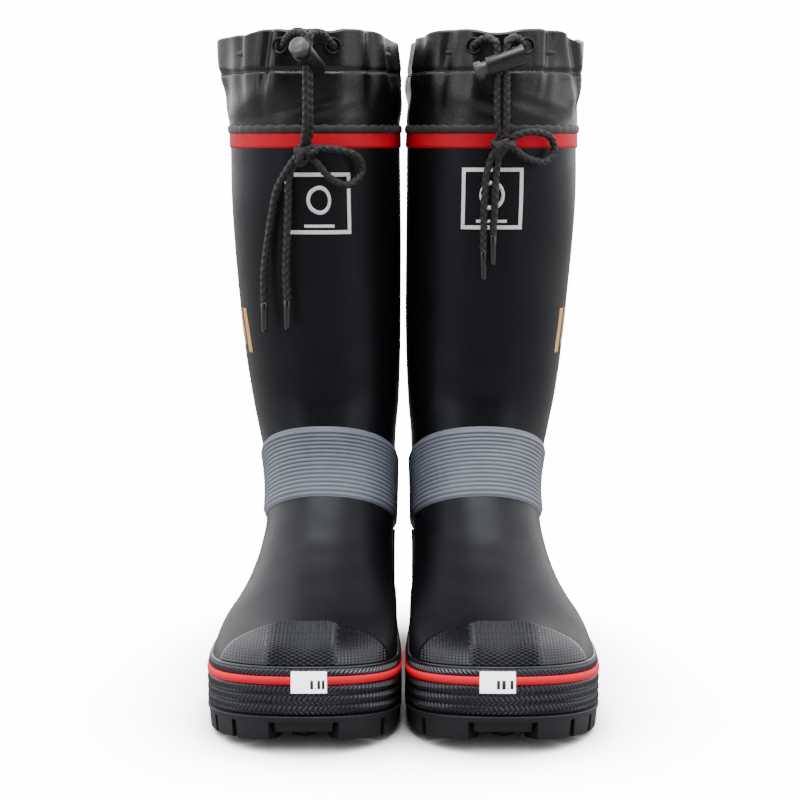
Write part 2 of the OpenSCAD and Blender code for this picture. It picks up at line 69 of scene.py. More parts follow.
# ---------------------------------------------------------------- the boot's surface, in millimetres
# height, inner side, outer side, front, back, front roundness, rear roundness, lean of the outer side
LEVELS = np.array([
    (14, 5, 93, -146.4, 146.6, 59, 42, 0),
    (24, 5, 93, -147, 147, 60, 42, 0),
    (36, 5, 93, -146, 147, 61, 42, 0),
    (44, 5, 93, -142, 146, 62, 42, 1.2),
    (52, 5, 93, -132, 145, 68, 42, 4),
    (58, 5, 93, -117, 144, 76, 43, 6.5),
    (64, 5, 93, -100, 143, 86, 43, 9),
    (72, 5, 93, -82, 142, 96, 44, 10),
    (80, 5, 93, -67, 140.5, 98, 45, 9.5),
    (90, 5.2, 93, -49, 139, 94, 47, 8),
    (105, 5.6, 92.8, -28, 136, 86, 50, 6.2),
    (120, 5.6, 92.6, -11, 133, 76, 53, 5),
    (137, 5.3, 92.6, 2, 131, 68, 56, 2.2),
    (150, 4.8, 94, 9, 130, 63, 58, 0.6),
    (170, 3, 97.5, 14, 130, 60, 58, 0),
    (203, 1.8, 102.4, 15, 132, 59, 58, 0),
    (250, 1.6, 107, 10, 135, 63, 62, 0),
    (300, 1.8, 110, 5, 137, 66, 66, 0),
    (345, 2.4, 110.5, 3, 138, 68, 67, 0),
    (380, 4, 112, 4, 138, 67, 67, 0),
    (405, 6.5, 111, 5, 137, 66, 66, 0),
], float)
# place along the foot, centre line, half width
PLAN = np.array([
    (-150, 55, 50),
    (-100, 57, 53.2),
    (-60, 57.8, 54.2),
    (-20, 56, 51),
    (20, 52.5, 46),
    (60, 49.5, 42.5),
    (100, 48, 40.5),
    (150, 47.5, 39),
], float)
SOLE_H = 14
LUG_H = 10.5
SPRING_R = 450
SPRING_Y = -60
LIFT_FADE = (47, 84)
FOOT_TO_LEG = (62, 135)
FOXING_LOW, STRIPE, FOXING_HIGH = 32, 36.5, 42
FOXING_T = 2.6
RUBBER_T, LINING_T = 3, 1.9
BAND_H = 40
LEG_TOP, CUFF_TOP = 345, 405
TOP_BAND_H = 9
CHANNEL_H = 25
CORD_D = 5.0


def curve(table, x, column):
    """Smooth value of a table's column, by cubic pieces with averaged slopes."""
    keys, values = table[:, 0], table[:, column]
    secant = np.diff(values) / np.diff(keys)
    slope = np.concatenate([secant[:1], (secant[:-1] + secant[1:]) / 2, secant[-1:]])
    x = np.asarray(x, float)
    i = np.clip(np.searchsorted(keys, x, side="right") - 1, 0, len(keys) - 2)
    h = keys[i + 1] - keys[i]
    u = np.clip((x - keys[i]) / h, 0, 1)
    return (
        (2 * u**3 - 3 * u**2 + 1) * values[i]
        + (u**3 - 2 * u**2 + u) * h * slope[i]
        + (3 * u**2 - 2 * u**3) * values[i + 1]
        + (u**3 - u**2) * h * slope[i + 1]
    )


def mix(a, b, k):
    return a + (b - a) * k


def smooth(x):
    c = np.clip(x, 0, 1)
    return c * c * (3 - 2 * c)


def bump(x, width):
    """Soft bump, 1 at x = 0 and fading over a width."""
    return np.exp(-((x / width) ** 2))


def turn(a, centre):
    """Signed angle from a centre, in degrees."""
    return (np.asarray(a, float) - centre + 180) % 360 - 180


def round_end(q):
    c = 1 - np.clip(q, 0, 1)
    return np.maximum(0, 1 - c**2.2) ** (1 / 2.2)


def toe_lift(y):
    reach = np.minimum(0, y - SPRING_Y)
    return SPRING_R - np.sqrt(SPRING_R**2 - reach**2)


def skin_point(a, z):
    a, z = np.broadcast_arrays(np.asarray(a, float), np.asarray(z, float))
    front, back = curve(LEVELS, z, 3), curve(LEVELS, z, 4)
    turned = np.radians(a)
    y = mix(front, back, (1 - np.cos(turned)) / 2)
    leg = smooth((z - FOOT_TO_LEG[0]) / (FOOT_TO_LEG[1] - FOOT_TO_LEG[0]))
    low, high = curve(LEVELS, z, 1), curve(LEVELS, z, 2)
    centre = mix(curve(PLAN, y, 1), (low + high) / 2, leg)
    half = mix(curve(PLAN, y, 2), (high - low) / 2, leg)
    w = half * round_end((y - front) / curve(LEVELS, z, 5)) * round_end((back - y) / curve(LEVELS, z, 6))
    fade = 1 - smooth((z - LIFT_FADE[0]) / (LIFT_FADE[1] - LIFT_FADE[0]))
    x = centre + np.where(np.sin(turned) >= 0, w * (1 - curve(LEVELS, z, 7) / half), -w)
    return np.stack([x, y, z + toe_lift(y) * fade], -1)


def inset(a, z, depth):
    """Point of the surface moved inward by a depth, or outward where the depth is negative."""
    along = skin_point(np.asarray(a) + 2, z) - skin_point(np.asarray(a) - 2, z)
    up = skin_point(a, np.asarray(z) + 1.5) - skin_point(a, np.asarray(z) - 1.5)
    n = np.cross(along, up)
    n /= np.linalg.norm(n, axis=-1, keepdims=True)
    return skin_point(a, z) - n * np.asarray(depth, float)[..., None]


def ankle_mid(a):
    return 88 + 53 * (1 + np.cos(np.radians(a))) / 2


def angle_at(y, z):
    front, back = curve(LEVELS, z, 3), curve(LEVELS, z, 4)
    return np.degrees(np.arccos(1 - 2 * np.clip((y - front) / (back - front), 0, 1)))


def even_angles(count, z, depth=0.0, start=0.0, stop=360.0):
    """Angles that lie at equal distances along the surface at one height."""
    a = np.linspace(start, stop, 4001)
    p = inset(a, np.full_like(a, z), np.full_like(a, depth))
    run = np.concatenate([[0], np.cumsum(np.linalg.norm(np.diff(p, axis=0), axis=1))])
    whole = abs(stop - start) >= 360
    wanted = np.linspace(0, run[-1], count + 1)[:-1] if whole else np.linspace(0, run[-1], count)
    return np.interp(wanted, run, a), wanted


# ---------------------------------------------------------------- meshes
def add_mesh(name, points, faces, side, material, smooth_shade=True):
    """Makes an object from points in millimetres, mirrored for the right boot."""
    points = np.array(points, float).reshape(-1, 3) * MM
    if side < 0:
        points[:, 0] *= -1
        faces = [tuple(reversed(f)) for f in faces]
    mesh = bpy.data.meshes.new(name)
    mesh.from_pydata(points.tolist(), [], [tuple(int(v) for v in f) for f in faces])
    mesh.validate()
    mesh.update()
    if smooth_shade:
        mesh.polygons.foreach_set("use_smooth", [True] * len(mesh.polygons))
    mesh.materials.append(material)
    thing = bpy.data.objects.new(name, mesh)
    bpy.context.scene.collection.objects.link(thing)
    return thing


def ring_faces(n, m, closed_rows=True):
    i = np.arange(n)[:, None]
    j = np.arange(m if closed_rows else m - 1)[None, :]
    k, l = (i + 1) % n, (j + 1) % m
    return np.stack([i * m + j, k * m + j, k * m + l, i * m + l], -1).reshape(-1, 4)


def ring(name, side, material, angles, z, depth):
    """Closed ring round the boot: z and depth hold one closed section for each angle."""
    z, depth = np.broadcast_arrays(z, depth)
    points = inset(angles[:, None], z, depth)
    return add_mesh(name, points, ring_faces(*z.shape), side, material)


def section(outer_z, outer_d, inner_z, inner_d):
    """Joins an outer column of (height, depth) going up to an inner one coming down."""
    return (
        np.concatenate([outer_z, inner_z[:, ::-1]], 1),
        np.concatenate([outer_d, inner_d[:, ::-1]], 1),
    )


def patch(name, side, material, outer, inner):
    """Closed sheet between two grids of points with the same rows and columns."""
    rows, cols = outer.shape[:2]
    back = rows * cols
    i, j = np.arange(rows - 1)[:, None], np.arange(cols - 1)[None, :]
    a = i * cols + j
    sheet = np.stack([a, a + 1, a + cols + 1, a + cols], -1).reshape(-1, 4)
    under = sheet[:, ::-1] + back
    rim = np.concatenate([
        np.arange(cols),
        np.arange(1, rows) * cols + cols - 1,
        (rows - 1) * cols + np.arange(cols - 2, -1, -1),
        np.arange(rows - 2, 0, -1) * cols,
    ])
    after = np.roll(rim, -1)
    edge = np.stack([after, rim, rim + back, after + back], -1)
    points = np.concatenate([outer.reshape(-1, 3), inner.reshape(-1, 3)])
    return add_mesh(name, points, np.concatenate([sheet, under, edge]), side, material)


def sweep(route, radius, sides, twist=None):
    """Rings of points round a route, without twist. radius is a number or an array of (ring, side)."""
    route = np.asarray(route, float)
    heading = np.gradient(route, axis=0)
    heading /= np.linalg.norm(heading, axis=1, keepdims=True)
    across = np.cross(heading[0], (0.31, 0.93, 0.2))
    across /= np.linalg.norm(across)
    frames = []
    for t in heading:
        across = across - t * np.dot(across, t)
        across /= np.linalg.norm(across)
        frames.append((across, np.cross(t, across)))
    first = np.array([f[0] for f in frames])[:, None, :]
    second = np.array([f[1] for f in frames])[:, None, :]
    angle = np.linspace(0, 2 * math.pi, sides, endpoint=False)[None, :, None]
    radius = np.broadcast_to(radius, (len(route), sides))[..., None]
    return route[:, None, :] + (first * np.cos(angle) + second * np.sin(angle)) * radius


def tube(name, side, material, route, radius, sides=12, mirrored=True):
    """Closed round tube along a route."""
    points = sweep(route, radius, sides)
    n = len(route)
    faces = [tuple(f) for f in ring_faces(n, sides)[: (n - 1) * sides][:, ::-1]]
    faces.append(tuple(reversed(range(sides))))
    faces.append(tuple((n - 1) * sides + k for k in range(sides)))
    return add_mesh(name, points, faces, side if mirrored else 1, material)


def spline(points, per_span):
    """Smooth curve through a route's points."""
    p = np.asarray(points, float)
    p = np.concatenate([[2 * p[0] - p[1]], p, [2 * p[-1] - p[-2]]])
    out = []
    for i in range(1, len(p) - 2):
        for k in range(per_span):
            t = k / per_span
            out.append(
                0.5 * (
                    2 * p[i] + (p[i + 1] - p[i - 1]) * t
                    + (2 * p[i - 1] - 5 * p[i] + 4 * p[i + 1] - p[i + 2]) * t * t
                    + (3 * p[i] - p[i - 1] - 3 * p[i + 1] + p[i + 2]) * t**3
                )
            )
    out.append(p[-2])
    return np.array(out)


def even_route(route, step):
    """The same route with points at equal distances."""
    run = np.concatenate([[0], np.cumsum(np.linalg.norm(np.diff(route, axis=0), axis=1))])
    wanted = np.linspace(0, run[-1], max(2, int(run[-1] / step) + 1))
    return np.stack([np.interp(wanted, run, route[:, c]) for c in range(3)], -1), run[-1]


def lathe(name, side, material, profile, place, axis, sides=64, mirrored=True):
    """Solid of revolution: profile is a closed loop of (radius, height along the axis)."""
    axis = Vector(axis).normalized()
    helper = Vector((0, 0, 1)) if abs(axis.z) < 0.9 else Vector((1, 0, 0))
    u = axis.cross(helper).normalized()
    v = axis.cross(u)
    angle = np.linspace(0, 2 * math.pi, sides, endpoint=False)
    profile = np.asarray(profile, float)
    r, h = profile[None, :, 0:1], profile[None, :, 1:2]
    spoke = np.cos(angle)[:, None, None] * np.array(u) + np.sin(angle)[:, None, None] * np.array(v)
    points = np.array(place, float) + spoke * r + np.array(axis) * h
    return add_mesh(name, points, ring_faces(sides, len(profile)), side if mirrored else 1, material)


# ---------------------------------------------------------------- materials
class Nodes:
    """Short names for building one material's node tree."""

    def __init__(self, name):
        self.material = bpy.data.materials.new(name)
        self.material.use_nodes = True
        self.tree = self.material.node_tree
        self.shader = self.tree.nodes["Principled BSDF"]
        self.place = self.add("ShaderNodeTexCoord").outputs["Object"]

    def add(self, kind, **values):
        node = self.tree.nodes.new(kind)
        for key, value in values.items():
            if key in node.inputs:
                node.inputs[key].default_value = value
            else:
                setattr(node, key, value)
        return node

    def link(self, source, target):
        self.tree.links.new(source, target)

    def noise(self, scale, detail=3.0, rough=0.5, stretch=None):
        node = self.add("ShaderNodeTexNoise", Scale=scale, Detail=detail, Roughness=rough)
        source = self.place
        if stretch:
            mapping = self.add("ShaderNodeMapping")
            mapping.inputs["Scale"].default_value = stretch
            self.link(source, mapping.inputs["Vector"])
            source = mapping.outputs[0]
        self.link(source, node.inputs["Vector"])
        return node.outputs["Fac"]

    def ramp(self, source, stops):
        node = self.add("ShaderNodeValToRGB")
        while len(node.color_ramp.elements) < len(stops):
            node.color_ramp.elements.new(0.5)
        for element, (at, color) in zip(node.color_ramp.elements, stops):
            element.position = at
            element.color = (*color, 1)
        self.link(source, node.inputs[0])
        return node.outputs[0]

    def rough(self, source, low, high):
        node = self.add("ShaderNodeMapRange")
        node.inputs["From Min"].default_value = 0.3
        node.inputs["From Max"].default_value = 0.7
        node.inputs["To Min"].default_value = low
        node.inputs["To Max"].default_value = high
        self.link(source, node.inputs["Value"])
        self.link(node.outputs[0], self.shader.inputs["Roughness"])

    def bumps(self, *layers):
        """Each layer is (height source, strength, distance in metres)."""
        normal = None
        for source, strength, distance in layers:
            node = self.add("ShaderNodeBump")
            node.inputs["Strength"].default_value = strength
            node.inputs["Distance"].default_value = distance
            self.link(source, node.inputs["Height"])
            if normal:
                self.link(normal, node.inputs["Normal"])
            normal = node.outputs[0]
        self.link(normal, self.shader.inputs["Normal"])

    def set(self, **values):
        for key, value in values.items():
            self.shader.inputs[key.replace("_", " ")].default_value = value


def rubber(name, color, low, high, dust=0.25, grain=0.25, specular=0.5, tint=(0.85, 0.88, 1.0, 1.0)):
    """Rubber: slow cloudy colour with a pale bloom, satin gloss that varies, fine skin grain."""
    n = Nodes(name)
    dark = tuple(c * 0.82 for c in color)
    pale = tuple(c + (0.5 - c) * 0.05 * dust for c in color)
    cloud = n.noise(14, 5, 0.6)
    n.link(n.ramp(cloud, [(0.3, dark), (0.55, color), (0.8, pale)]), n.shader.inputs["Base Color"])
    n.rough(n.noise(35, 6, 0.65), low, high)
    n.bumps((n.noise(60, 2, 0.5), 0.12, 0.0006), (n.noise(1400, 3, 0.6), grain, 0.00008))
    n.set(Specular_IOR_Level=specular, Specular_Tint=tint)
    return n.material


def fabric(name, color, low, high, weave=900, strength=0.4, sheen=0.3):
    """Woven or knitted cloth: crossed threads, with slow colour change."""
    n = Nodes(name)
    dark = tuple(c * 0.75 for c in color)
    light = tuple(min(1, c * 1.15) for c in color)
    n.link(n.ramp(n.noise(40, 5, 0.6), [(0.3, dark), (0.7, light)]), n.shader.inputs["Base Color"])
    n.rough(n.noise(90, 4, 0.6), low, high)
    threads = []
    for direction in ("X", "Z"):
        wave = n.add("ShaderNodeTexWave", Scale=weave, Distortion=1.5, bands_direction=direction)
        n.link(n.place, wave.inputs["Vector"])
        threads.append(wave.outputs["Fac"])
    n.bumps((threads[0], strength, 0.00012), (threads[1], strength, 0.00012), (n.noise(700, 3), 0.3, 0.0001))
    n.set(Sheen_Weight=sheen, Sheen_Roughness=0.5)
    return n.material


def coated_cloth():
    """Coated cuff cloth: leathery grain, soft creases and a low uneven gloss."""
    n = Nodes("coated_cloth")
    n.link(
        n.ramp(n.noise(22, 6, 0.6), [(0.3, (0.0016, 0.0016, 0.0018)), (0.6, (0.0022, 0.0023, 0.0026)), (0.85, (0.004, 0.0042, 0.0047))]),
        n.shader.inputs["Base Color"],
    )
    n.rough(n.noise(48, 5, 0.6), 0.28, 0.42)
    cells = n.add("ShaderNodeTexVoronoi", Scale=620.0)
    n.link(n.place, cells.inputs["Vector"])
    n.bumps(
        (n.noise(120, 5, 0.6, (1.0, 1.0, 2.2)), 0.35, 0.0007),
        (cells.outputs["Distance"], 0.28, 0.00016),
        (n.noise(1300, 3), 0.2, 0.0001),
    )
    n.set(Specular_IOR_Level=0.42)
    return n.material


def ribbed_grey():
    """Blue-grey ankle rubber: slow cloudy colour, an uneven gloss and fine bumps."""
    n = Nodes("ribbed_grey")
    color = n.ramp(n.noise(18, 5, 0.6), [(0.3, (0.115, 0.13, 0.165)), (0.6, (0.17, 0.19, 0.232)), (0.85, (0.23, 0.255, 0.295))])
    n.link(color, n.shader.inputs["Base Color"])
    n.rough(n.noise(60, 5, 0.6), 0.42, 0.62)
    n.bumps((n.noise(160, 4, 0.6), 0.2, 0.0005), (n.noise(1500, 3), 0.3, 0.0001))
    n.set(Specular_IOR_Level=0.45)
    return n.material


def metal(name, color, low, high, scratch=900):
    n = Nodes(name)
    n.link(n.ramp(n.noise(200, 4, 0.6), [(0.3, tuple(c * 0.8 for c in color)), (0.7, color)]), n.shader.inputs["Base Color"])
    n.rough(n.noise(scratch, 3, 0.6, (1.0, 1.0, 0.15)), low, high)
    n.bumps((n.noise(scratch, 3, 0.6, (1.0, 1.0, 0.15)), 0.1, 0.00005))
    n.set(Metallic=1.0)
    return n.material


def plastic(name, color, low, high, grain=0.1, coat=0.0, glow=0.0):
    n = Nodes(name)
    n.link(
        n.ramp(n.noise(120, 4, 0.6), [(0.3, tuple(c * 0.88 for c in color)), (0.75, color)]),
        n.shader.inputs["Base Color"],
    )
    n.rough(n.noise(300, 4, 0.6), low, high)
    n.bumps((n.noise(1800, 2), grain, 0.00006))
    n.set(Coat_Weight=coat, Coat_Roughness=0.2, Emission_Color=(1.0, 1.0, 1.0, 1.0), Emission_Strength=glow)
    return n.material


def braid_cloth():
    """Dark braided cord: fine fibres along the plait, dull with a slight sheen."""
    n = Nodes("braid_cloth")
    n.link(
        n.ramp(n.noise(500, 4, 0.6), [(0.3, (0.0022, 0.0022, 0.0025)), (0.7, (0.006, 0.006, 0.0066))]),
        n.shader.inputs["Base Color"],
    )
    n.rough(n.noise(700, 3), 0.5, 0.66)
    n.bumps((n.noise(3000, 2, 0.5, (1.0, 1.0, 0.3)), 0.5, 0.0001))
    n.set(Sheen_Weight=0.06, Sheen_Roughness=0.4)
    return n.material


MATERIALS = {
    "shell": rubber("shell_rubber", (0.0022, 0.0024, 0.0031), 0.38, 0.48, dust=0.06, specular=0.24),
    "guard": rubber("guard_rubber", (0.0024, 0.0026, 0.0034), 0.24, 0.34, dust=0.06, specular=0.38),
    "foxing": rubber("foxing_rubber", (0.006, 0.0065, 0.0085), 0.24, 0.36, dust=0.08, specular=0.62),
    "sole": rubber("sole_rubber", (0.0135, 0.0138, 0.015), 0.5, 0.66, dust=0.2, grain=0.5, specular=0.4),
    "red": rubber("red_rubber", (0.58, 0.006, 0.02), 0.5, 0.6, dust=0.0, specular=0.15),
    "red_stripe": rubber("red_stripe", (0.8, 0.008, 0.028), 0.5, 0.6, dust=0.0, specular=0.15),
    "brown": rubber("brown_rubber", (0.12, 0.018, 0.012), 0.42, 0.55, dust=0.2),
    "grey": ribbed_grey(),
    "cuff": coated_cloth(),
    "binding": fabric("binding_cloth", (0.009, 0.0092, 0.01), 0.5, 0.65, 1200, 0.3, 0.1),
    "thread": fabric("sewing_thread", (0.012, 0.012, 0.013), 0.5, 0.65, 2500, 0.3, 0.1),
    "lining": fabric("lining_knit", (0.42, 0.40, 0.36), 0.8, 0.95, 700, 0.6),
    "footbed": fabric("footbed_cloth", (0.085, 0.09, 0.1), 0.8, 0.95, 800, 0.5),
    "board": fabric("fibre_board", (0.34, 0.23, 0.12), 0.8, 0.95, 300, 0.2, 0.0),
    "cord": braid_cloth(),
    "steel": metal("pressed_steel", (0.5, 0.51, 0.53), 0.25, 0.45),
    "gunmetal": metal("blackened_metal", (0.035, 0.035, 0.037), 0.22, 0.38),
    "lock": plastic("lock_plastic", (0.007, 0.007, 0.0075), 0.3, 0.42, 0.2),
    "button": plastic("button_plastic", (0.055, 0.056, 0.06), 0.3, 0.42, 0.15),
    "aglet": plastic("aglet_plastic", (0.005, 0.005, 0.0055), 0.18, 0.3, 0.05, 0.3),
    # the sticker paper is given emission: a painted glow that keeps it bright white, though it is no lamp
    "label": plastic("label_paper_painted_glow", (0.97, 0.97, 0.97), 0.4, 0.55, 0.15, glow=2.2),
    "ink": plastic("dark_ink", (0.02, 0.02, 0.022), 0.5, 0.6),
    "white": plastic("white_print", (0.95, 0.95, 0.95), 0.38, 0.5, 0.2),
    "orange": plastic("orange_print", (0.75, 0.4, 0.13), 0.35, 0.5, 0.2),
}


def place(piece, boot, material_slot, *nodes, body="boot"):
    """The piece rides on the boot's body and stands for CAD nodes, which it hides; material_slot is not used."""
    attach(piece, f"{boot}_{body}")
    if nodes:
        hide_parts(*[f"{boot}_{n}" for n in nodes])
    return piece


# ---------------------------------------------------------------- foot and leg
def leg_dents(a, z, side):
    """Soft hollows and waves where the rubber leg has been handled, in millimetres of depth."""
    front = turn(a, -12 if side > 0 else -6)
    low = 1.3 * bump(front, 26) * bump(z - 178, 13)
    crease = 0.7 * bump(turn(a, 8), 60) * bump(z - 196, 9) + 0.5 * bump(turn(a, 180), 60) * bump(z - 150, 10)
    hollow = 1.2 * bump(turn(a, 40 if side > 0 else -40), 22) * bump(z - 262, 34)
    wave = 0.35 * np.sin(np.radians(a) * 3 + 1.1 * side) * np.sin(z / 23.0 + side)
    fade = smooth((z - 158) / 20) * (1 - smooth((z - 318) / 14))
    return (low - 0.6 * crease + hollow + wave) * fade


def leg_skin(boot, side):
    a, _ = even_angles(220, 250)
    v = np.linspace(0, 1, 120)[None, :]
    z = mix(ankle_mid(a)[:, None], LEG_TOP, v)
    depth = leg_dents(a[:, None], z, side)
    inner_z = np.linspace(0, 1, 30)[None, :] * (LEG_TOP - ankle_mid(a))[:, None] + ankle_mid(a)[:, None]
    z2, d2 = section(z, depth, inner_z, np.full_like(inner_z, RUBBER_T))
    place(ring(f"{boot}_leg_skin", side, MATERIALS["shell"], a, z2, d2), boot, "shell_rubber", "leg")


def vamp_skin(boot, side):
    a, _ = even_angles(240, 40)
    v = np.concatenate([np.linspace(0, 0.16, 8), np.linspace(0.16, 0.62, 60)[1:], np.linspace(0.62, 1, 36)[1:]])
    z = mix(SOLE_H, ankle_mid(a)[:, None], v[None, :])
    depth = 0.55 * bump(turn(a[:, None], 0), 70) * (bump(z - 98, 5) + 0.7 * bump(z - 84, 6))
    inner = np.linspace(0, 1, 40)[None, :] * (ankle_mid(a) - SOLE_H)[:, None] + SOLE_H
    z2, d2 = section(z, np.broadcast_to(depth, z.shape), inner, np.full_like(inner, RUBBER_T))
    place(ring(f"{boot}_vamp_skin", side, MATERIALS["shell"], a, z2, d2), boot, "shell_rubber", "vamp")


def inner_lining(boot, side):
    a, _ = even_angles(150, 200)
    low = SOLE_H + 4.5
    v = np.linspace(0, 1, 90)[None, :]
    z = mix(low, LEG_TOP - 4, v) + 0 * a[:, None]
    wrinkle = 0.5 * np.sin(z / 9.0 + 2 * np.sin(np.radians(a[:, None]) * 2)) * bump(z - 150, 60)
    outer = np.full_like(z, RUBBER_T + 0.15)
    z2, d2 = section(z, outer, z, RUBBER_T + LINING_T + wrinkle)
    place(ring(f"{boot}_lining_cloth", side, MATERIALS["lining"], a, z2, d2), boot, "lining_fabric", "lining")


RIB_COUNT = 15


def ankle_ribs(boot, side):
    """Ankle band: a bevelled edge round fifteen raised ribs."""
    a, _ = even_angles(300, 115)
    per_rib = 9
    edge = 0.055
    v = np.concatenate([
        [0, 0.008, 0.02, 0.04],
        edge + np.linspace(0, 1, RIB_COUNT * per_rib + 1) * (1 - 2 * edge),
        [0.96, 0.98, 0.992, 1],
    ])
    inside = (v > edge - 1e-6) & (v < 1 - edge + 1e-6)
    phase = (v - edge) / (1 - 2 * edge) * RIB_COUNT
    rib = np.where(inside, np.abs(np.sin(np.pi * phase)) ** 0.6, 0)
    rim = smooth(np.minimum(v, 1 - v) / 0.02)
    out = 1.1 * rim + 0.25 * (~inside) * rim + np.where(inside, 0.25 + 1.05 * rib, 0)
    z = ankle_mid(a)[:, None] + (v[None, :] - 0.5) * BAND_H
    wave = 0.35 * np.sin(np.radians(a)[:, None] * 2 + side) * bump(v[None, :] - 0.5, 0.4)
    depth = -(out[None, :] + wave * rim[None, :])
    inner = ankle_mid(a)[:, None] + (np.linspace(0, 1, 12)[None, :] - 0.5) * BAND_H
    z2, d2 = section(z, depth, inner, np.full_like(inner, -0.05))
    place(ring(f"{boot}_ankle_ribs", side, MATERIALS["grey"], a, z2, d2), boot, "grey_rubber", "ankle_band")


# ---------------------------------------------------------------- foxing bands
HATCH_PITCH = 2.9


def hatch(run, v, slant):
    """Slanted rounded ribs, 0 in the grooves and 1 on the crests."""
    wave = 0.5 + 0.5 * np.cos(2 * np.pi * (run / HATCH_PITCH + slant * v))
    return wave**1.2


def herringbone(boot, side):
    """Lower foxing: three rows of ribs slanting each way, with a plain groove between rows."""
    rows, per_row = 3, 11
    a, run = even_angles(1900, 24, -2)
    pitch_fit = round(run[-1] / HATCH_PITCH) * HATCH_PITCH / run[-1]
    run = run * pitch_fit
    lip = 0.5
    v = np.linspace(0, 1, rows * per_row + 1)
    z = mix(SOLE_H + 1.2, FOXING_LOW - 0.6, v)
    z = np.concatenate([[SOLE_H, SOLE_H + lip], z, [FOXING_LOW - 0.1]])
    v = np.concatenate([[0, 0], v, [1]])
    row = np.minimum((v * rows).astype(int), rows - 1)
    local = v * rows - row
    crown = np.sin(np.pi * np.clip(local, 0, 1)) ** 0.35
    chevron = np.abs(local - 0.5) * 2
    ribs = hatch(run[:, None], chevron[None, :], 0.95)
    flat = np.ones_like(v)
    flat[:2] = 0
    flat[-1] = 0
    out = 1.0 + (0.4 * crown + 1.2 * crown * ribs) * flat[None, :]
    z = np.broadcast_to(z, out.shape)
    inner = np.broadcast_to(np.array([SOLE_H, 23.0, FOXING_LOW - 0.1]), (len(a), 3))
    z2, d2 = section(z, -out, inner, np.full_like(inner, -0.05))
    place(ring(f"{boot}_herringbone", side, MATERIALS["foxing"], a, z2, d2), boot, "foxing_rubber", "lower_foxing")


def rope_band(boot, side):
    """Upper foxing: a row of slanted rope ribs under a plain rounded strip."""
    a, run = even_angles(1700, 40, -2)
    run = run * round(run[-1] / HATCH_PITCH) * HATCH_PITCH / run[-1]
    v = np.linspace(0, 1, 13)
    hatch_z = mix(STRIPE + 0.4, STRIPE + 3.4, v)
    strip_v = np.linspace(0, 1, 9)
    strip_z = mix(STRIPE + 3.8, FOXING_HIGH, strip_v)
    ribs = hatch(run[:, None], v[None, :], 1.1)
    low = 1.0 + (0.2 + 0.95 * ribs) * np.sin(np.pi * np.clip(v, 0.04, 0.96))[None, :] ** 0.35
    strip = 0.35 + 1.1 * np.sin(np.pi * np.clip(0.12 + 0.88 * strip_v, 0, 1)) ** 0.5
    z = np.concatenate([[STRIPE + 0.1], hatch_z, strip_z])
    out = np.concatenate([np.full((len(a), 1), 1.0), low, np.broadcast_to(strip, (len(a), 9))], 1)
    z = np.broadcast_to(z, out.shape)
    inner = np.broadcast_to(np.array([STRIPE + 0.1, 39.5, FOXING_HIGH]), (len(a), 3))
    z2, d2 = section(z, -out, inner, np.full_like(inner, -0.05))
    place(ring(f"{boot}_rope_band", side, MATERIALS["foxing"], a, z2, d2), boot, "foxing_rubber", "upper_foxing")


def foot_stripe(boot, side):
    a, _ = even_angles(320, 34, -2)
    v = np.linspace(0, 1, 11)
    z = mix(FOXING_LOW, STRIPE, v)
    out = 1.4 + 1.35 * np.sin(np.pi * np.clip(v, 0.0, 1)) ** 0.4
    z = np.broadcast_to(z, (len(a), 11))
    inner = np.broadcast_to(np.array([FOXING_LOW, STRIPE]), (len(a), 2))
    z2, d2 = section(z, np.broadcast_to(-out, z.shape), inner, np.full_like(inner, -0.05))
    place(ring(f"{boot}_foot_stripe_red", side, MATERIALS["red_stripe"], a, z2, d2), boot, "red_rubber", "foot_stripe")


# ---------------------------------------------------------------- toe guard and heel
GUARD_SIDE_Y, GUARD_FRONT_Y, GUARD_TOP = -109, -99.5, 64


def toe_guard(boot, side):
    """Toe overlay with a diamond knurl in the middle and fine squares at both sides."""
    rows, cols = 190, 620
    v = np.linspace(0, 1, rows)
    z = mix(FOXING_HIGH - 0.2, GUARD_TOP, v)
    y = mix(GUARD_SIDE_Y, GUARD_FRONT_Y, v)
    share = np.linspace(-1, 1, cols)
    reach = angle_at(y, z)
    a = reach[:, None] * share[None, :]
    zz = np.broadcast_to(z[:, None], a.shape)
    flat = inset(a, zz, np.zeros_like(a))
    across = flat[..., 0] - 57
    along = np.concatenate([[0], np.cumsum(np.linalg.norm(np.diff(flat[:, cols // 2], axis=0), axis=1))])[:, None]
    middle = smooth((22 - np.abs(across)) / 7)
    one = np.abs(np.sin(np.pi * (across / 4.4 + along / 2.5)))
    two = np.abs(np.sin(np.pi * (across / 4.4 - along / 2.5)))
    diamond = np.minimum(one, two) ** 1.4
    grid = np.minimum(1, 1.5 * np.minimum(np.abs(np.sin(np.pi * across / 1.9)), np.abs(np.sin(np.pi * along / 1.9))))
    near_side = np.minimum(np.abs(share[None, :] - 1), np.abs(share[None, :] + 1)) * reach[:, None]
    rim = smooth(v[:, None] / 0.03) * smooth((1 - v[:, None]) / 0.05) * smooth(near_side / 2.5)
    texture = mix(0.22 * grid, 1.15 * diamond, middle) * smooth((rim - 0.6) / 0.4)
    out = 0.15 + rim * 0.55 + texture
    outer = inset(a, zz, -out)
    inner = inset(a, zz, np.full_like(a, -0.02))
    piece = patch(f"{boot}_toe_guard_knurled", side, MATERIALS["guard"], outer, inner)
    place(piece, boot, "guard_rubber", "toe_guard")


HEEL_HALF = 54


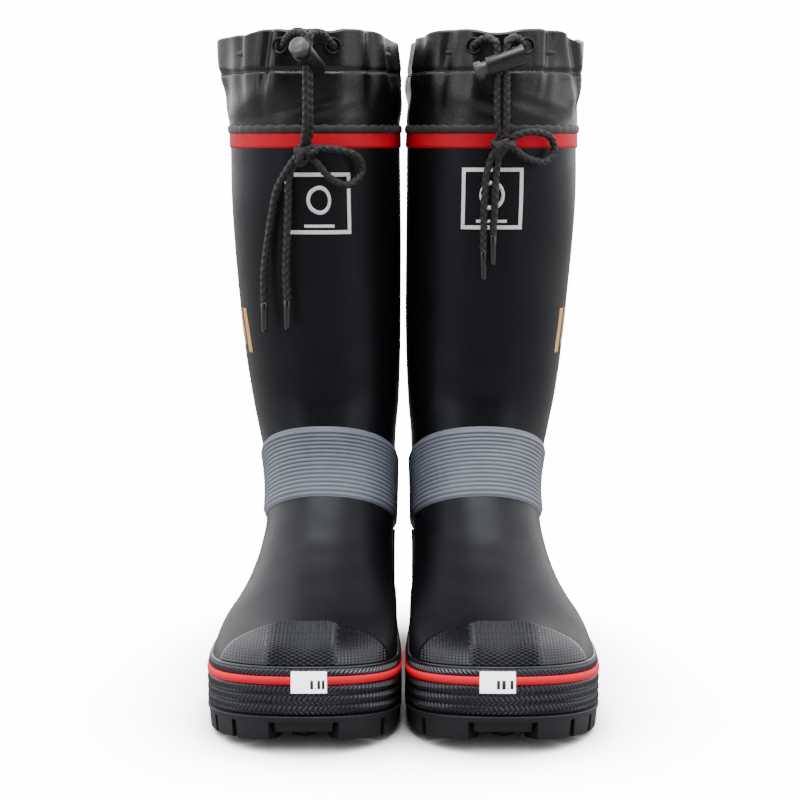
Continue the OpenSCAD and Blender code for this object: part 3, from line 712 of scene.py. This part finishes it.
def heel_counter(boot, side):
    rows, cols = 40, 140
    a = np.linspace(180 - HEEL_HALF, 180 + HEEL_HALF, cols)[None, :]
    v = np.linspace(0, 1, rows)[:, None]
    low, high = FOXING_HIGH, ankle_mid(a) - BAND_H / 2 - 0.2
    z = mix(low, high, v)
    rim = smooth(np.minimum(v, 1 - v) / 0.04) * smooth((HEEL_HALF - np.abs(a - 180)) / 1.5)
    out = 0.2 + 1.1 * rim
    a = np.broadcast_to(a, z.shape)
    piece = patch(f"{boot}_heel_patch", side, MATERIALS["shell"], inset(a, z, -out), inset(a, z, 0 * z - 0.02))
    place(piece, boot, "shell_rubber", "heel_counter")
    for end, sign in (("inner", 1), ("outer", -1)):
        at = 180 + sign * (HEEL_HALF + 2.6)
        z_line = np.linspace(FOXING_HIGH + 0.5, ankle_mid(at) - BAND_H / 2 - 0.4, 30)
        route = inset(np.full_like(z_line, at), z_line, np.full_like(z_line, -0.6))
        line = tube(f"{boot}_heel_piping_{end}", side, MATERIALS["brown"], route, 1.15, 14)
        place(line, boot, "brown_rubber", "heel_piping")


# ---------------------------------------------------------------- sole
def outline_ring(a, z, depth):
    """Outline of the sole at a height above the toe curve."""
    p = inset(a, np.full_like(a, SOLE_H + 10.0), depth)
    p[..., 2] = z + toe_lift(p[..., 1])
    return p


def outsole_plate(boot, side):
    """Sole plate: stepped rounded wall, closed underneath by strips across the foot."""
    a = np.linspace(0, 360, 361)[:-1]
    profile = [(0.4, SOLE_H), (-FOXING_T + 0.4, SOLE_H), (-FOXING_T, SOLE_H - 0.5), (-FOXING_T, LUG_H + 1.9),
               (-FOXING_T + 0.25, LUG_H + 1.5), (-FOXING_T + 0.5, LUG_H + 1.2), (-FOXING_T + 0.6, LUG_H + 0.5),
               (-FOXING_T + 1.1, LUG_H), (14, LUG_H), (30, LUG_H)]
    rings = [outline_ring(a, z, np.full_like(a, float(d))) for d, z in profile]
    n = len(a)
    points = np.concatenate(rings)
    faces = []
    for r in range(len(rings) - 1):
        for i in range(n):
            k = (i + 1) % n
            faces.append((r * n + i, (r + 1) * n + i, (r + 1) * n + k, r * n + k))
    for base, flip in ((0, True), ((len(rings) - 1) * n, False)):
        for i in range(n // 2):
            quad = [i, i + 1, (n - i - 1) % n, (n - i) % n]
            quad = [base + q for q in dict.fromkeys(quad)]
            if len(quad) > 2:
                faces.append(tuple(quad if flip else reversed(quad)))
    piece = add_mesh(f"{boot}_outsole_plate", points, faces, side, MATERIALS["sole"])
    soft_edges(piece, 35)
    place(piece, boot, "sole_rubber", "outsole")


def pick(piece):
    """Makes one piece the only selected one."""
    for thing in bpy.context.selected_objects:
        thing.select_set(False)
    bpy.context.view_layer.objects.active = piece
    piece.select_set(True)


def soft_edges(piece, angle):
    """Flat faces stay flat: only shallow angles are shaded smooth."""
    pick(piece)
    bpy.ops.object.shade_smooth_by_angle(angle=math.radians(angle))


def lug(name, boot, side, a0, a1, d0, d1, low=0.0, high=LUG_H + 0.5, lean=1.2):
    """Lug between two angles of the outline, from a depth at its outer face to one inside."""
    cols = 14
    bevel = 1.0
    rings = []
    for z, shrink in ((high, 0.0), (low + bevel, 0.5), (low + 0.3, 0.85), (low, 1.5)):
        s = shrink * lean
        angles = np.linspace(a0, a1, cols)
        outer = outline_ring(angles, z, np.full(cols, d0 + s * 0.6))
        inner = outline_ring(angles[::-1], z, np.full(cols, d1 - s * 0.6))
        loop = np.concatenate([outer, inner])
        middle = loop.mean(0)
        flat = loop[:, :2] - middle[:2]
        size = np.linalg.norm(flat, axis=1, keepdims=True)
        loop[:, :2] = middle[:2] + flat * (1 - s / np.maximum(size, 6))
        rings.append(loop)
    n = 2 * cols
    faces = []
    for r in range(len(rings) - 1):
        for i in range(n):
            k = (i + 1) % n
            faces.append((r * n + i, (r + 1) * n + i, (r + 1) * n + k, r * n + k))
    top, last = 0, (len(rings) - 1) * n
    for i in range(cols - 1):
        faces.append((top + i, top + i + 1, top + n - i - 2, top + n - i - 1))
        faces.append((last + n - i - 1, last + n - i - 2, last + i + 1, last + i))
    piece = add_mesh(name, np.concatenate(rings), faces, side, MATERIALS["sole"])
    soft_edges(piece, 40)
    place(piece, boot, "sole_rubber", "outsole")


def outline_angle(y):
    return float(angle_at(y, SOLE_H + 10.0))


FRONT_LUGS = [(-128, 5.5), (-104, 16), (-80, 18), (-56, 18), (-32, 18), (-8, 18), (16, 15)]
HEEL_LUGS = [(74, 12), (96, 14), (118, 14)]


def tread(boot, side):
    """Lugs along both edges, two slotted blocks at the toe, a raised toe wall and studs down the middle."""
    edge = -FOXING_T + 0.7
    for sign, end in ((1, "outer"), (-1, "inner")):
        flip = (lambda t: t) if sign > 0 else (lambda t: 360 - t)
        first, second = ((12, 26.5), (28.6, 38.5)) if sign > 0 else ((12, 32), (34.3, 40.5))
        lug(f"{boot}_toe_lug_{end}_1", boot, side, *sorted(map(flip, first)), edge, 18)
        lug(f"{boot}_toe_lug_{end}_2", boot, side, *sorted(map(flip, second)), edge, 26)
        for i, (y, width) in enumerate(FRONT_LUGS[1:] + HEEL_LUGS):
            t0, t1 = outline_angle(y - width / 2), outline_angle(y + width / 2)
            depth = 34 if y < 40 else 27
            lug(f"{boot}_lug_{end}_{i + 1}", boot, side, *sorted((flip(t0), flip(t1))), edge, depth)
    lug(f"{boot}_toe_wall", boot, side, -10.6, 10.6, edge + 3.2, 15, low=4.6, lean=1.0)
    t_heel = outline_angle(132)
    lug(f"{boot}_heel_lug_rear", boot, side, t_heel, 360 - t_heel, edge, 15)
    for i, y in enumerate((-118, -94, -70, -46, -22, 2, 24, 84, 106)):
        x = float(curve(PLAN, float(y), 1))
        base = float(toe_lift(np.array(float(y))))
        profile = [(0, LUG_H + 0.5), (7.2, LUG_H + 0.5), (7.2, 1.4), (6.4, 0.9), (0, 0.9)]
        stud = lathe(f"{boot}_tread_stud_{i + 1}", side, MATERIALS["sole"], profile[::-1], (x, y, base), (0, 0, 1), 40)
        soft_edges(stud, 35)
        place(stud, boot, "sole_rubber", "outsole")


# ---------------------------------------------------------------- bands at the top of the leg
def top_band(boot, side):
    a, _ = even_angles(260, 338)
    v = np.linspace(0, 1, 13)
    z = mix(LEG_TOP - 3 - TOP_BAND_H, LEG_TOP - 2.6, v)
    out = 0.1 + 0.7 * smooth(np.minimum(v, 1 - v) / 0.1)
    ripple = 0.18 * np.sin(np.radians(a)[:, None] * 7 + side)
    z2 = np.broadcast_to(z, (len(a), 13)) + ripple * (v[None, :] < 0.5)
    inner = np.broadcast_to(np.array([z[0], z[-1]]), (len(a), 2))
    zz, dd = section(z2, np.broadcast_to(-out, z2.shape), inner, np.full_like(inner, -0.02))
    place(ring(f"{boot}_top_band_red", side, MATERIALS["red"], a, zz, dd), boot, "red_rubber", "top_band")


def binding(boot, side):
    """Rolled sewn edge of the cuff: it puckers at each stitch."""
    a, run = even_angles(900, LEG_TOP)
    low = LEG_TOP - 2.9
    v = np.linspace(0, 1, 11)
    pucker = 0.5 + 0.5 * np.cos(2 * np.pi * run / (run[-1] / 46))
    z = low + v[None, :] * (4.6 + 0.7 * pucker[:, None] * v[None, :])
    roll = np.sin(np.pi * np.clip(0.08 + 0.84 * v, 0, 1))[None, :] ** 0.6
    out = 0.35 + (1.15 + 0.25 * pucker[:, None]) * roll
    inner = np.broadcast_to(np.array([low, low + 4.6]), (len(a), 2))
    zz, dd = section(z, -out, inner, np.full_like(inner, -0.05))
    place(ring(f"{boot}_binding_roll", side, MATERIALS["binding"], a, zz, dd), boot, "binding_fabric", "cuff_binding")


# ---------------------------------------------------------------- cuff
STITCH_Z = CUFF_TOP - CHANNEL_H


def cuff_rim(a, side):
    """How far the cuff's mouth drops below its highest point, in millimetres."""
    if side > 0:
        drops = ((105, 40, 6.5), (62, 9, 4.5), (-2, 11, 2.6), (-62, 16, 2.2), (-100, 30, 3.0), (200, 60, 4.0))
    else:
        drops = ((96, 42, 4.8), (44, 10, 2.2), (-14, 5, 1.4), (8, 7, 0.8), (-58, 7, 1.6), (-100, 30, 5.0), (200, 60, 4.0))
    return sum(deep * bump(turn(a, centre), width) for centre, width, deep in drops)


def crease(x, width):
    """Sharp valley with rounded shoulders on both sides."""
    return 0.45 * bump(x, 2.4 * width) - bump(x, width)


def cuff_folds(a, z, side):
    """Outward move of the gathered cuff, in millimetres: folds that grow toward the mouth."""
    up = np.clip((z - LEG_TOP) / (CUFF_TOP - LEG_TOP), 0, 1)
    grow = smooth(up * 1.3)
    phase = 0.9 * side
    t = np.radians(a)
    gathers = 1.5 * np.sin(6 * t + phase) + 1.1 * np.sin(11 * t + 2.1 * phase + 1.8 * up) + 0.5 * np.sin(19 * t - phase)
    calm = 1 - 0.8 * bump(turn(a, 0), 26)
    move = gathers * grow * calm
    # long folds: where round the boot, lean with height, width, depth
    if side > 0:
        folds = ((30, 10, 4.5, 3.4), (58, -14, 5.0, 4.2), (-34, 4, 5.0, 3.2), (-8, -6, 6.0, 1.6), (130, 8, 7, 3), (225, -9, 8, 3))
    else:
        folds = ((25, -8, 3.6, 3.8), (48, 12, 6.0, 3.6), (-40, -6, 5.5, 3.0), (6, 5, 7.0, 1.4), (120, -8, 7, 3), (215, 9, 8, 3))
    for centre, lean, width, deep in folds:
        move = move + deep * crease(turn(a, centre + lean * (up - 0.6)), width) * grow
    ear = (6.5 if side < 0 else 2.5) * bump(turn(a, 93 if side < 0 else 84), 22) * smooth((up - 0.3) / 0.65)
    belly = 1.2 * bump(up - 0.4, 0.26) * (1 + 0.6 * np.sin(3 * t + phase))
    pinch = -0.7 * bump(z - STITCH_Z, 1.6)
    middle = 12 if side > 0 else -4
    # fine slanted wrinkles where the cord pulls the front, and crushed ones low down
    slant = np.sin((z - 352) / 2.1 + turn(a, middle) / 6.5)
    wrinkles = 0.55 * slant * bump(turn(a, middle), 24) * bump(z - 357, 7)
    crush = 0.8 * np.sin(z / 5.2 + 3 * np.sin(2 * t + phase)) * bump(up - 0.3, 0.26) * (0.4 + 0.6 * np.abs(np.sin(t)))
    return move + ear + belly + pinch + wrinkles + crush


def cuff(boot, side):
    """Gathered cuff with a hollow hem for the cord. A line of stitches closes the hem."""
    cols = 520
    a, run = even_angles(cols, CUFF_TOP - 20)
    drop = cuff_rim(a, side)[:, None]
    low = LEG_TOP + 0.4
    # the outer face, over the mouth, and down the inner face of the hem
    outer_v = np.linspace(0, 1, 74)
    top = CUFF_TOP - drop
    outer_z = mix(low, top - 1.2, outer_v[None, :])
    lift = cuff_folds(a[:, None], outer_z, side)
    stitch = 0.5 + 0.5 * np.cos(2 * np.pi * run / (run[-1] / 150))
    line = bump(outer_z - STITCH_Z + 0.35 * drop, 0.8)
    lift = lift - 0.55 * line - 0.25 * line * stitch[:, None]
    outer_d = -lift
    turn_v = np.linspace(0, 1, 9)[1:-1]
    top_lift = lift[:, -1:]
    width = 6.0
    arch = np.sin(np.pi * turn_v)[None, :]
    mouth_z = (top - 1.2) + 1.4 * arch
    mouth_d = -top_lift + width * turn_v[None, :]
    hem_v = np.linspace(1, 0, 22)
    hem_z = mix(STITCH_Z, top - 1.2, hem_v[None, :])
    hem_lift = cuff_folds(a[:, None], hem_z, side)
    hem_d = width - hem_lift
    # back up inside the hem, then down the inner face of the outer layer
    thick = 1.3
    cave_v = np.linspace(0, 1, 12)
    cave_z = mix(STITCH_Z, top - 1.2 - thick, cave_v[None, :])
    cave_d = width - thick - cuff_folds(a[:, None], cave_z, side)
    back_v = np.linspace(1, 0, 40)
    back_z = mix(low, top - 1.2 - thick, back_v[None, :])
    back_d = thick - cuff_folds(a[:, None], back_z, side)
    z = np.concatenate([outer_z, mouth_z, hem_z, cave_z, back_z], 1)
    d = np.concatenate([outer_d, mouth_d, hem_d, cave_d, back_d], 1)
    piece = ring(f"{boot}_cuff_cloth", side, MATERIALS["cuff"], a, np.clip(z, None, CUFF_TOP + 2), d)
    place(piece, boot, "cuff_fabric", "cuff")
    stitches(boot, side, a, drop)


def stitches(boot, side, a, drop):
    """The sewn line under the hem: short threads, all one piece."""
    count = 150
    at, _ = even_angles(count, STITCH_Z)
    fall = np.interp(at, a, 0.35 * drop[:, 0], period=360)
    points, faces = [], []
    half = 180 / count * 0.62
    for angle, down in zip(at, fall):
        line = np.linspace(angle - half, angle + half, 6)
        z = np.full(6, STITCH_Z - down)
        out = cuff_folds(line, z, side) - 0.42
        bow = np.sin(np.linspace(0, np.pi, 6)) * 0.35 - 0.1
        route = inset(line, z, -(out + bow))
        ring_points = sweep(route, 0.28, 6)
        base = len(points) * 36
        points.append(ring_points.reshape(-1, 3))
        faces += [tuple(base + v for v in f) for f in ring_faces(6, 6)[:30][:, ::-1]]
        faces.append(tuple(base + k for k in reversed(range(6))))
        faces.append(tuple(base + 30 + k for k in range(6)))
    piece = add_mesh(f"{boot}_hem_stitches", np.concatenate(points), faces, side, MATERIALS["thread"])
    place(piece, boot, "cuff_fabric")


EYELETS = [(-14.5, "inner"), (14.5, "outer")]
EYELET_Z = 394.5


def eyelets(boot, side):
    """Rolled metal eyelets set through the cuff's outer layer."""
    for angle, end in EYELETS:
        at = inset(angle, EYELET_Z, np.array(-float(cuff_folds(np.array(angle), np.array(EYELET_Z), side))))
        further = inset(angle, EYELET_Z, np.array(-20.0))
        axis = further - inset(angle, EYELET_Z, np.array(0.0))
        profile = [
            (3.5, -3.0), (3.35, -0.5), (3.5, 0.6), (3.9, 1.25), (4.5, 1.5), (5.0, 1.25), (5.35, 0.6), (5.4, 0.0),
            (5.2, -0.25), (4.1, -0.3), (4.0, -3.0), (5.2, -3.1), (5.0, -3.5), (3.9, -3.5),
        ]
        ring_piece = lathe(f"{boot}_eyelet_{end}", side, MATERIALS["gunmetal"], profile[::-1], at, axis, 48)
        place(ring_piece, boot, "dark_metal", "eyelets")


# ---------------------------------------------------------------- drawcord
ROUTES = {
    "left_inner": [
        (42, 7, 394), (45.5, 2, 396.5), (49.5, -3, 398.5), (53.8, -7.5, 397), (56.3, -9, 392), (56.3, -9, 371),
        (56.3, -9, 351),
        (57.5, -7.5, 343), (60, -5, 337), (68, -4, 341), (79, 0, 343), (89, 7, 340), (92, 10, 332), (86, 6, 325),
        (75, -1, 327), (64, -5, 334), (58, -5, 329), (56, -4, 317), (55.5, -3, 303), (55, -1, 290), (54.5, 0, 280),
    ],
    "left_outer": [
        (73, 7, 394), (70.5, 2, 397), (67.5, -3, 399), (64.2, -7.5, 398), (61.7, -9, 393.5), (61.7, -9, 371),
        (61.7, -9, 351), (61, -7.5, 343), (58, -6, 336), (53, -5, 327), (50, -4, 315), (49, -3, 300),
        (48.8, -1, 285), (48.8, 0, 271),
    ],
    "right_inner": [
        (-42, 7, 394), (-45.5, 1, 398), (-49.5, -6, 401.5), (-54, -13, 401), (-55.8, -16.5, 395.5), (-55.8, -16.5, 374),
        (-55.8, -16.5, 353), (-56, -13, 343), (-57.5, -8, 333), (-50, -5, 333), (-39, -3, 332), (-28, 2, 328),
        (-25, 5, 319), (-33, 0, 311), (-44, -3, 315), (-54, -5, 326), (-62, -4, 328), (-69, -1, 316),
        (-70, 1, 300), (-71, 2, 280), (-72, 4, 260), (-71.5, 6, 240),
    ],
    "right_outer": [
        (-73, 7, 394), (-70.5, 0, 398), (-66, -10, 401.5), (-60.5, -18.5, 401.5), (-57.7, -21.5, 396),
        (-57.7, -21.5, 374), (-57.7, -21.5, 353), (-58.5, -17, 343), (-61, -9, 333), (-69, -4, 322),
        (-77, 3, 308), (-81, 7, 290), (-84, 10, 272), (-86, 12, 255), (-86, 13, 238),
    ],
}
KNOTS = {"left": (60, -5.5, 336), "right": (-58.5, -8, 332)}
AGLET_L = 18


def braid_radius(count, sides, step):
    """Radius round a plaited cord: strands cross over and under each other."""
    along = np.arange(count)[:, None] * step
    around = np.linspace(0, 2 * math.pi, sides, endpoint=False)[None, :]
    lay = 2 * math.pi * along / 14
    one = np.cos(3 * (around + lay))
    two = np.cos(3 * (around - lay))
    over = np.cos(3 * lay)
    plait = np.maximum(one * (0.62 + 0.38 * over), two * (0.62 - 0.38 * over))
    return CORD_D / 2 - 0.55 + 0.6 * np.clip(plait, -0.5, 1)


def braided(name, route, material=None):
    """Braided tube along a route in millimetres, already on its own side."""
    step = 0.55
    line, length = even_route(spline(route, 12), step)
    sides = 24
    radius = braid_radius(len(line), sides, step)
    return tube(name, 1, material or MATERIALS["cord"], line, radius, sides), line, length


def aglet(boot, end, tip):
    profile = [(0, -AGLET_L), (1.0, -AGLET_L), (1.6, -AGLET_L + 0.7), (1.9, -AGLET_L + 2), (2.15, -6), (2.25, -0.6),
               (2.1, 0.3), (1.2, 0.6), (0, 0.6)]
    piece = lathe(f"{boot}_aglet_{end}", 1, MATERIALS["aglet"], profile, tip, (0, 0, 1), 32)
    return place(piece, boot, "black_plastic", "aglets")


def drawcord(boot):
    for end in ("inner", "outer"):
        route = ROUTES[f"{boot}_{end}"]
        piece, line, length = braided(f"{boot}_drawcord_{end}", route)
        place(piece, boot, "cord_braid", f"{end}_cord")
        tip = aglet(boot, end, route[-1])


def knot(boot):
    """Two turns of cord pulled tight round both strands, and a crossing turn in front."""
    centre = np.array(KNOTS[boot], float)
    t = np.linspace(0, 2 * math.pi, 40)
    around = np.stack([5.6 * np.cos(t), 4.6 * np.sin(t), 1.3 * np.sin(t)], -1)
    crossing = np.stack([3.4 * np.cos(t) - 1, -1.2 + 3.6 * np.sin(t), -3.4 + 4.6 * np.cos(t + 0.6)], -1)
    for i, turn_route in enumerate((around, crossing)):
        step = 0.55
        line, _ = even_route(centre + turn_route, step)
        piece = tube(f"{boot}_knot_turn_{i + 1}", 1, MATERIALS["cord"], line, braid_radius(len(line), 24, step), 24)
        place(piece, boot, "cord_braid", "knot")


def channel_cord(boot, side):
    """The stretch of cord that runs inside the hem."""
    a = np.linspace(22, 338, 160)
    route = inset(a, np.full_like(a, CUFF_TOP - 14.0), np.full_like(a, 3.2))
    line, _ = even_route(route, 1.1)
    piece = tube(f"{boot}_channel_cord_braid", side, MATERIALS["cord"], line, 2.0, 12)
    place(piece, boot, "cord_braid", "channel_cord")


# ---------------------------------------------------------------- cord lock
def softened(boot, node, name, material, material_slot, body, width):
    """A copy of an exact CAD node with its edges rounded."""
    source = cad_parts[f"{boot}_{node}"]
    mesh = source.data.copy()
    piece = bpy.data.objects.new(f"{boot}_{name}", mesh)
    piece.matrix_world = source.matrix_world.copy()
    bpy.context.scene.collection.objects.link(piece)
    pick(piece)
    bpy.ops.object.mode_set(mode="EDIT")
    bpy.ops.mesh.select_all(action="SELECT")
    bpy.ops.mesh.remove_doubles(threshold=0.00001)
    bpy.ops.mesh.dissolve_limited(angle_limit=math.radians(1.0))
    bpy.ops.object.mode_set(mode="OBJECT")
    bevel = piece.modifiers.new("round", "BEVEL")
    bevel.width = width * MM
    bevel.segments = 3
    bevel.limit_method = "ANGLE"
    bevel.angle_limit = math.radians(50)
    bevel.harden_normals = False
    bpy.ops.object.modifier_apply(modifier="round")
    bpy.ops.object.shade_smooth_by_angle(angle=math.radians(35))
    mesh.materials.clear()
    mesh.materials.append(material)
    place(piece, boot, material_slot, node, body=body)


# ---------------------------------------------------------------- label and prints
def small_patch(name, boot, side, material, a0, a1, z0, z1, base, out, cols=24, rows=16):
    a = np.broadcast_to(np.linspace(a0, a1, cols)[None, :], (rows, cols))
    z = np.broadcast_to(np.linspace(z0, z1, rows)[:, None], (rows, cols))
    outer = inset(a, z, np.full(a.shape, base - out))
    inner = inset(a, z, np.full(a.shape, base))
    return patch(name, side, material, outer, inner)


def size_sticker(boot, side):
    base = -FOXING_T - 0.25
    low, high = FOXING_LOW - 4, FOXING_LOW + 7
    left_edge, right_edge = (-7.6, 3.6)
    piece = small_patch(f"{boot}_label", boot, side, MATERIALS["label"], left_edge, right_edge, low, high, base, 0.25)
    place(piece, boot, "sticker", "size_sticker")
    for i in range(4):
        # plain bars stand for the printed size
        wide = 0.95 if i != 2 else 0.35
        first = -1.9 if side > 0 else -6.8
        start = first + (0, 1.5, 2.9, 3.8)[i]
        bar = small_patch(f"{boot}_label_bar_{i + 1}", boot, side, MATERIALS["ink"], start, start + wide,
                          low + 2.2, low + (6.6 if i != 2 else 3.0), base - 0.25, 0.06, 4, 4)
        place(bar, boot, "sticker")


EMBLEM_ANGLES = {"left": (-19.0, 15.6), "right": (-22.5, 14.8)}
EMBLEM_Z, EMBLEM_H = 301, 37.5


def emblem(boot, side):
    """Plain square outline with a plain ring and bar inside it."""
    a0, a1 = EMBLEM_ANGLES[boot]
    middle_z = EMBLEM_Z + 1.5 * side
    low, high = middle_z - EMBLEM_H / 2, middle_z + EMBLEM_H / 2
    line_a, line_z = 2.3, 2.4
    bars = [
        (a0, a1, high - line_z, high), (a0, a1, low, low + line_z),
        (a0, a0 + line_a, low + line_z, high - line_z), (a1 - line_a, a1, low + line_z, high - line_z),
    ]
    for i, (b0, b1, z0, z1) in enumerate(bars):
        edge = small_patch(f"{boot}_emblem_edge_{i + 1}", boot, side, MATERIALS["white"], b0, b1, z0, z1, -0.02, 0.14, 40, 24)
        place(edge, boot, "white_print", "emblem")
    middle = (a0 + a1) / 2
    t = np.linspace(0, 2 * math.pi, 65)[:-1]
    rings = []
    for radius_a, radius_z, depth in ((6.4, 8.8, -0.02), (6.4, 8.8, -0.16), (4.6, 6.4, -0.16), (4.6, 6.4, -0.02)):
        rings.append(inset(middle + radius_a * np.cos(t), middle_z + 2 + radius_z * np.sin(t), np.full_like(t, depth)))
    points = np.stack(rings, 1)
    ring_piece = add_mesh(f"{boot}_emblem_ring", points, ring_faces(64, 4), side, MATERIALS["white"])
    place(ring_piece, boot, "white_print", "emblem")
    bar = small_patch(f"{boot}_emblem_bar", boot, side, MATERIALS["white"], middle - 8, middle + 8,
                      low + 4, low + 5.8, -0.02, 0.14, 30, 4)
    place(bar, boot, "white_print", "emblem")


def side_mark(boot, side):
    for i in range(3):
        a0 = 58 + 11 * i
        rows, cols = 24, 8
        z = np.broadcast_to(np.linspace(204 + 4 * i, 232, rows)[:, None], (rows, cols))
        a = np.linspace(a0, a0 + 7, cols)[None, :] + (z - 218) * 0.1
        piece = patch(f"{boot}_side_mark_{i + 1}", side, MATERIALS["orange"],
                      inset(a, z, np.full(a.shape, -0.16) + leg_dents(a, z, side)),
                      inset(a, z, np.full(a.shape, -0.02) + leg_dents(a, z, side)))
        place(piece, boot, "orange_print", "side_mark")


# ---------------------------------------------------------------- inside
def footbed(boot, side):
    """Removable padded footbed: crowned, with a raised heel cup."""
    n = 180
    a = np.linspace(0, 360, n + 1)[:-1]
    depths = [6.6, 6.0, 5.9, 6.0, 6.8, 9, 13, 18, 24, 30, 36, 42]
    low, high = SOLE_H + 4.3, SOLE_H + 11
    heights = [low, low + 0.4, low + 2, high - 1.4, high - 0.4, high, high - 0.3, high - 0.8, high - 1.1, high - 1.2, high - 1.2, high - 1.2]
    rings = [outline_ring(a, z, np.full_like(a, float(d))) for d, z in zip(depths, heights)]
    faces = []
    for r in range(len(rings) - 1):
        for i in range(n):
            k = (i + 1) % n
            faces.append((r * n + i, r * n + k, (r + 1) * n + k, (r + 1) * n + i))
    for base, flip in ((0, False), ((len(rings) - 1) * n, True)):
        for i in range(n // 2):
            quad = [base + q for q in dict.fromkeys([i, i + 1, (n - i - 1) % n, (n - i) % n])]
            if len(quad) > 2:
                faces.append(tuple(quad if flip else reversed(quad)))
    piece = add_mesh(f"{boot}_footbed_pad", np.concatenate(rings), faces, side, MATERIALS["footbed"])
    place(piece, boot, "foam_fabric", "footbed")


def finish_cad_node(boot, node, material):
    """A hidden CAD piece keeps its shape and gets its real material."""
    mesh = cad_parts[f"{boot}_{node}"].data
    mesh.materials.clear()
    mesh.materials.append(material)


def make_boot(boot, side):
    leg_skin(boot, side)
    vamp_skin(boot, side)
    inner_lining(boot, side)
    ankle_ribs(boot, side)
    herringbone(boot, side)
    foot_stripe(boot, side)
    rope_band(boot, side)
    toe_guard(boot, side)
    heel_counter(boot, side)
    outsole_plate(boot, side)
    tread(boot, side)
    top_band(boot, side)
    binding(boot, side)
    cuff(boot, side)
    eyelets(boot, side)
    drawcord(boot)
    knot(boot)
    channel_cord(boot, side)
    size_sticker(boot, side)
    emblem(boot, side)
    side_mark(boot, side)
    footbed(boot, side)
    softened(boot, "lock_barrel", "lock_barrel_body", MATERIALS["lock"], "lock_plastic", "lock", 0.5)
    softened(boot, "lock_plunger", "lock_button", MATERIALS["button"], "button_plastic", "button", 0.4)
    finish_cad_node(boot, "lock_spring", MATERIALS["steel"])
    finish_cad_node(boot, "steel_midsole", MATERIALS["steel"])
    finish_cad_node(boot, "toe_cap", MATERIALS["steel"])
    finish_cad_node(boot, "insole_board", MATERIALS["board"])


for boot_name, boot_side in SIDES.items():
    make_boot(boot_name, boot_side)


# ---------------------------------------------------------------- studio
def seen_or_lit(tree, seen, lit):
    """Strength for what the camera sees directly, and another for the light it gives."""
    path = tree.nodes.new("ShaderNodeLightPath")
    blend = tree.nodes.new("ShaderNodeMix")
    tree.links.new(path.outputs["Is Camera Ray"], blend.inputs[0])
    if isinstance(lit, (int, float)):
        blend.inputs[2].default_value = lit
    else:
        tree.links.new(lit, blend.inputs[2])
    blend.inputs[3].default_value = seen
    return blend.outputs[0]


ROOM_DIM, ROOM_BRIGHT = 0.06, 2.6


def studio():
    bpy.ops.mesh.primitive_plane_add(size=14, location=(0, 0, 0))
    floor = bpy.context.object
    floor.name = "studio_floor"
    n = Nodes("studio_floor")
    n.link(n.ramp(n.noise(2, 2), [(0.3, (0.3, 0.3, 0.3)), (0.7, (0.32, 0.32, 0.32))]), n.shader.inputs["Base Color"])
    n.set(Roughness=0.85, Specular_IOR_Level=0.1, Emission_Color=(1, 1, 1, 1))
    # it looks white to the camera, with a painted contact shadow where it meets the boots: ambient occlusion darkens
    # its emission
    painted_contact_shadow = n.add("ShaderNodeAmbientOcclusion", Distance=0.11)
    painted_contact_shadow.samples = 8
    deep = n.add("ShaderNodeMath", operation="POWER")
    deep.inputs[1].default_value = 2.6
    n.link(painted_contact_shadow.outputs["AO"], deep.inputs[0])
    white = n.add("ShaderNodeMath", operation="MULTIPLY")
    n.link(deep.outputs[0], white.inputs[0])
    n.link(seen_or_lit(n.tree, 15.0, 0.0), white.inputs[1])
    n.link(white.outputs[0], n.shader.inputs["Emission Strength"])
    floor.data.materials.append(n.material)
    # the room is dim toward the camera and bright at the sides and behind
    world = bpy.data.worlds.new("studio")
    world.use_nodes = True
    tree = world.node_tree
    where = tree.nodes.new("ShaderNodeTexCoord").outputs["Generated"]
    split = tree.nodes.new("ShaderNodeSeparateXYZ")
    tree.links.new(where, split.inputs[0])
    share = tree.nodes.new("ShaderNodeMapRange")
    share.interpolation_type = "SMOOTHSTEP"
    for key, value in (("From Min", -0.86), ("From Max", 0.1), ("To Min", ROOM_DIM), ("To Max", ROOM_BRIGHT)):
        share.inputs[key].default_value = value
    tree.links.new(split.outputs["Y"], share.inputs["Value"])
    background = tree.nodes["Background"]
    background.inputs["Color"].default_value = (1, 1, 1, 1)
    tree.links.new(seen_or_lit(tree, 16.0, share.outputs[0]), background.inputs["Strength"])
    bpy.context.scene.world = world
    lights = [
        ("soft_left", (-1.1, -1.0, 0.9), (-0.05, 0, 0.22), 7, 0.5, 1.4),
        ("soft_right", (1.1, -1.0, 0.9), (0.05, 0, 0.22), 7, 0.5, 1.4),
        ("top", (0, -0.45, 1.9), (0, -0.05, 0), 30, 1.2, 0.8),
    ]
    for name, at, aim, power, wide, high in lights:
        data = bpy.data.lights.new(name, "AREA")
        data.shape = "RECTANGLE"
        data.energy = power
        data.size = wide
        data.size_y = high
        light = bpy.data.objects.new(name, data)
        light.location = at
        light.rotation_euler = (Vector(aim) - Vector(at)).to_track_quat("-Z", "Y").to_euler()
        bpy.context.scene.collection.objects.link(light)


studio()
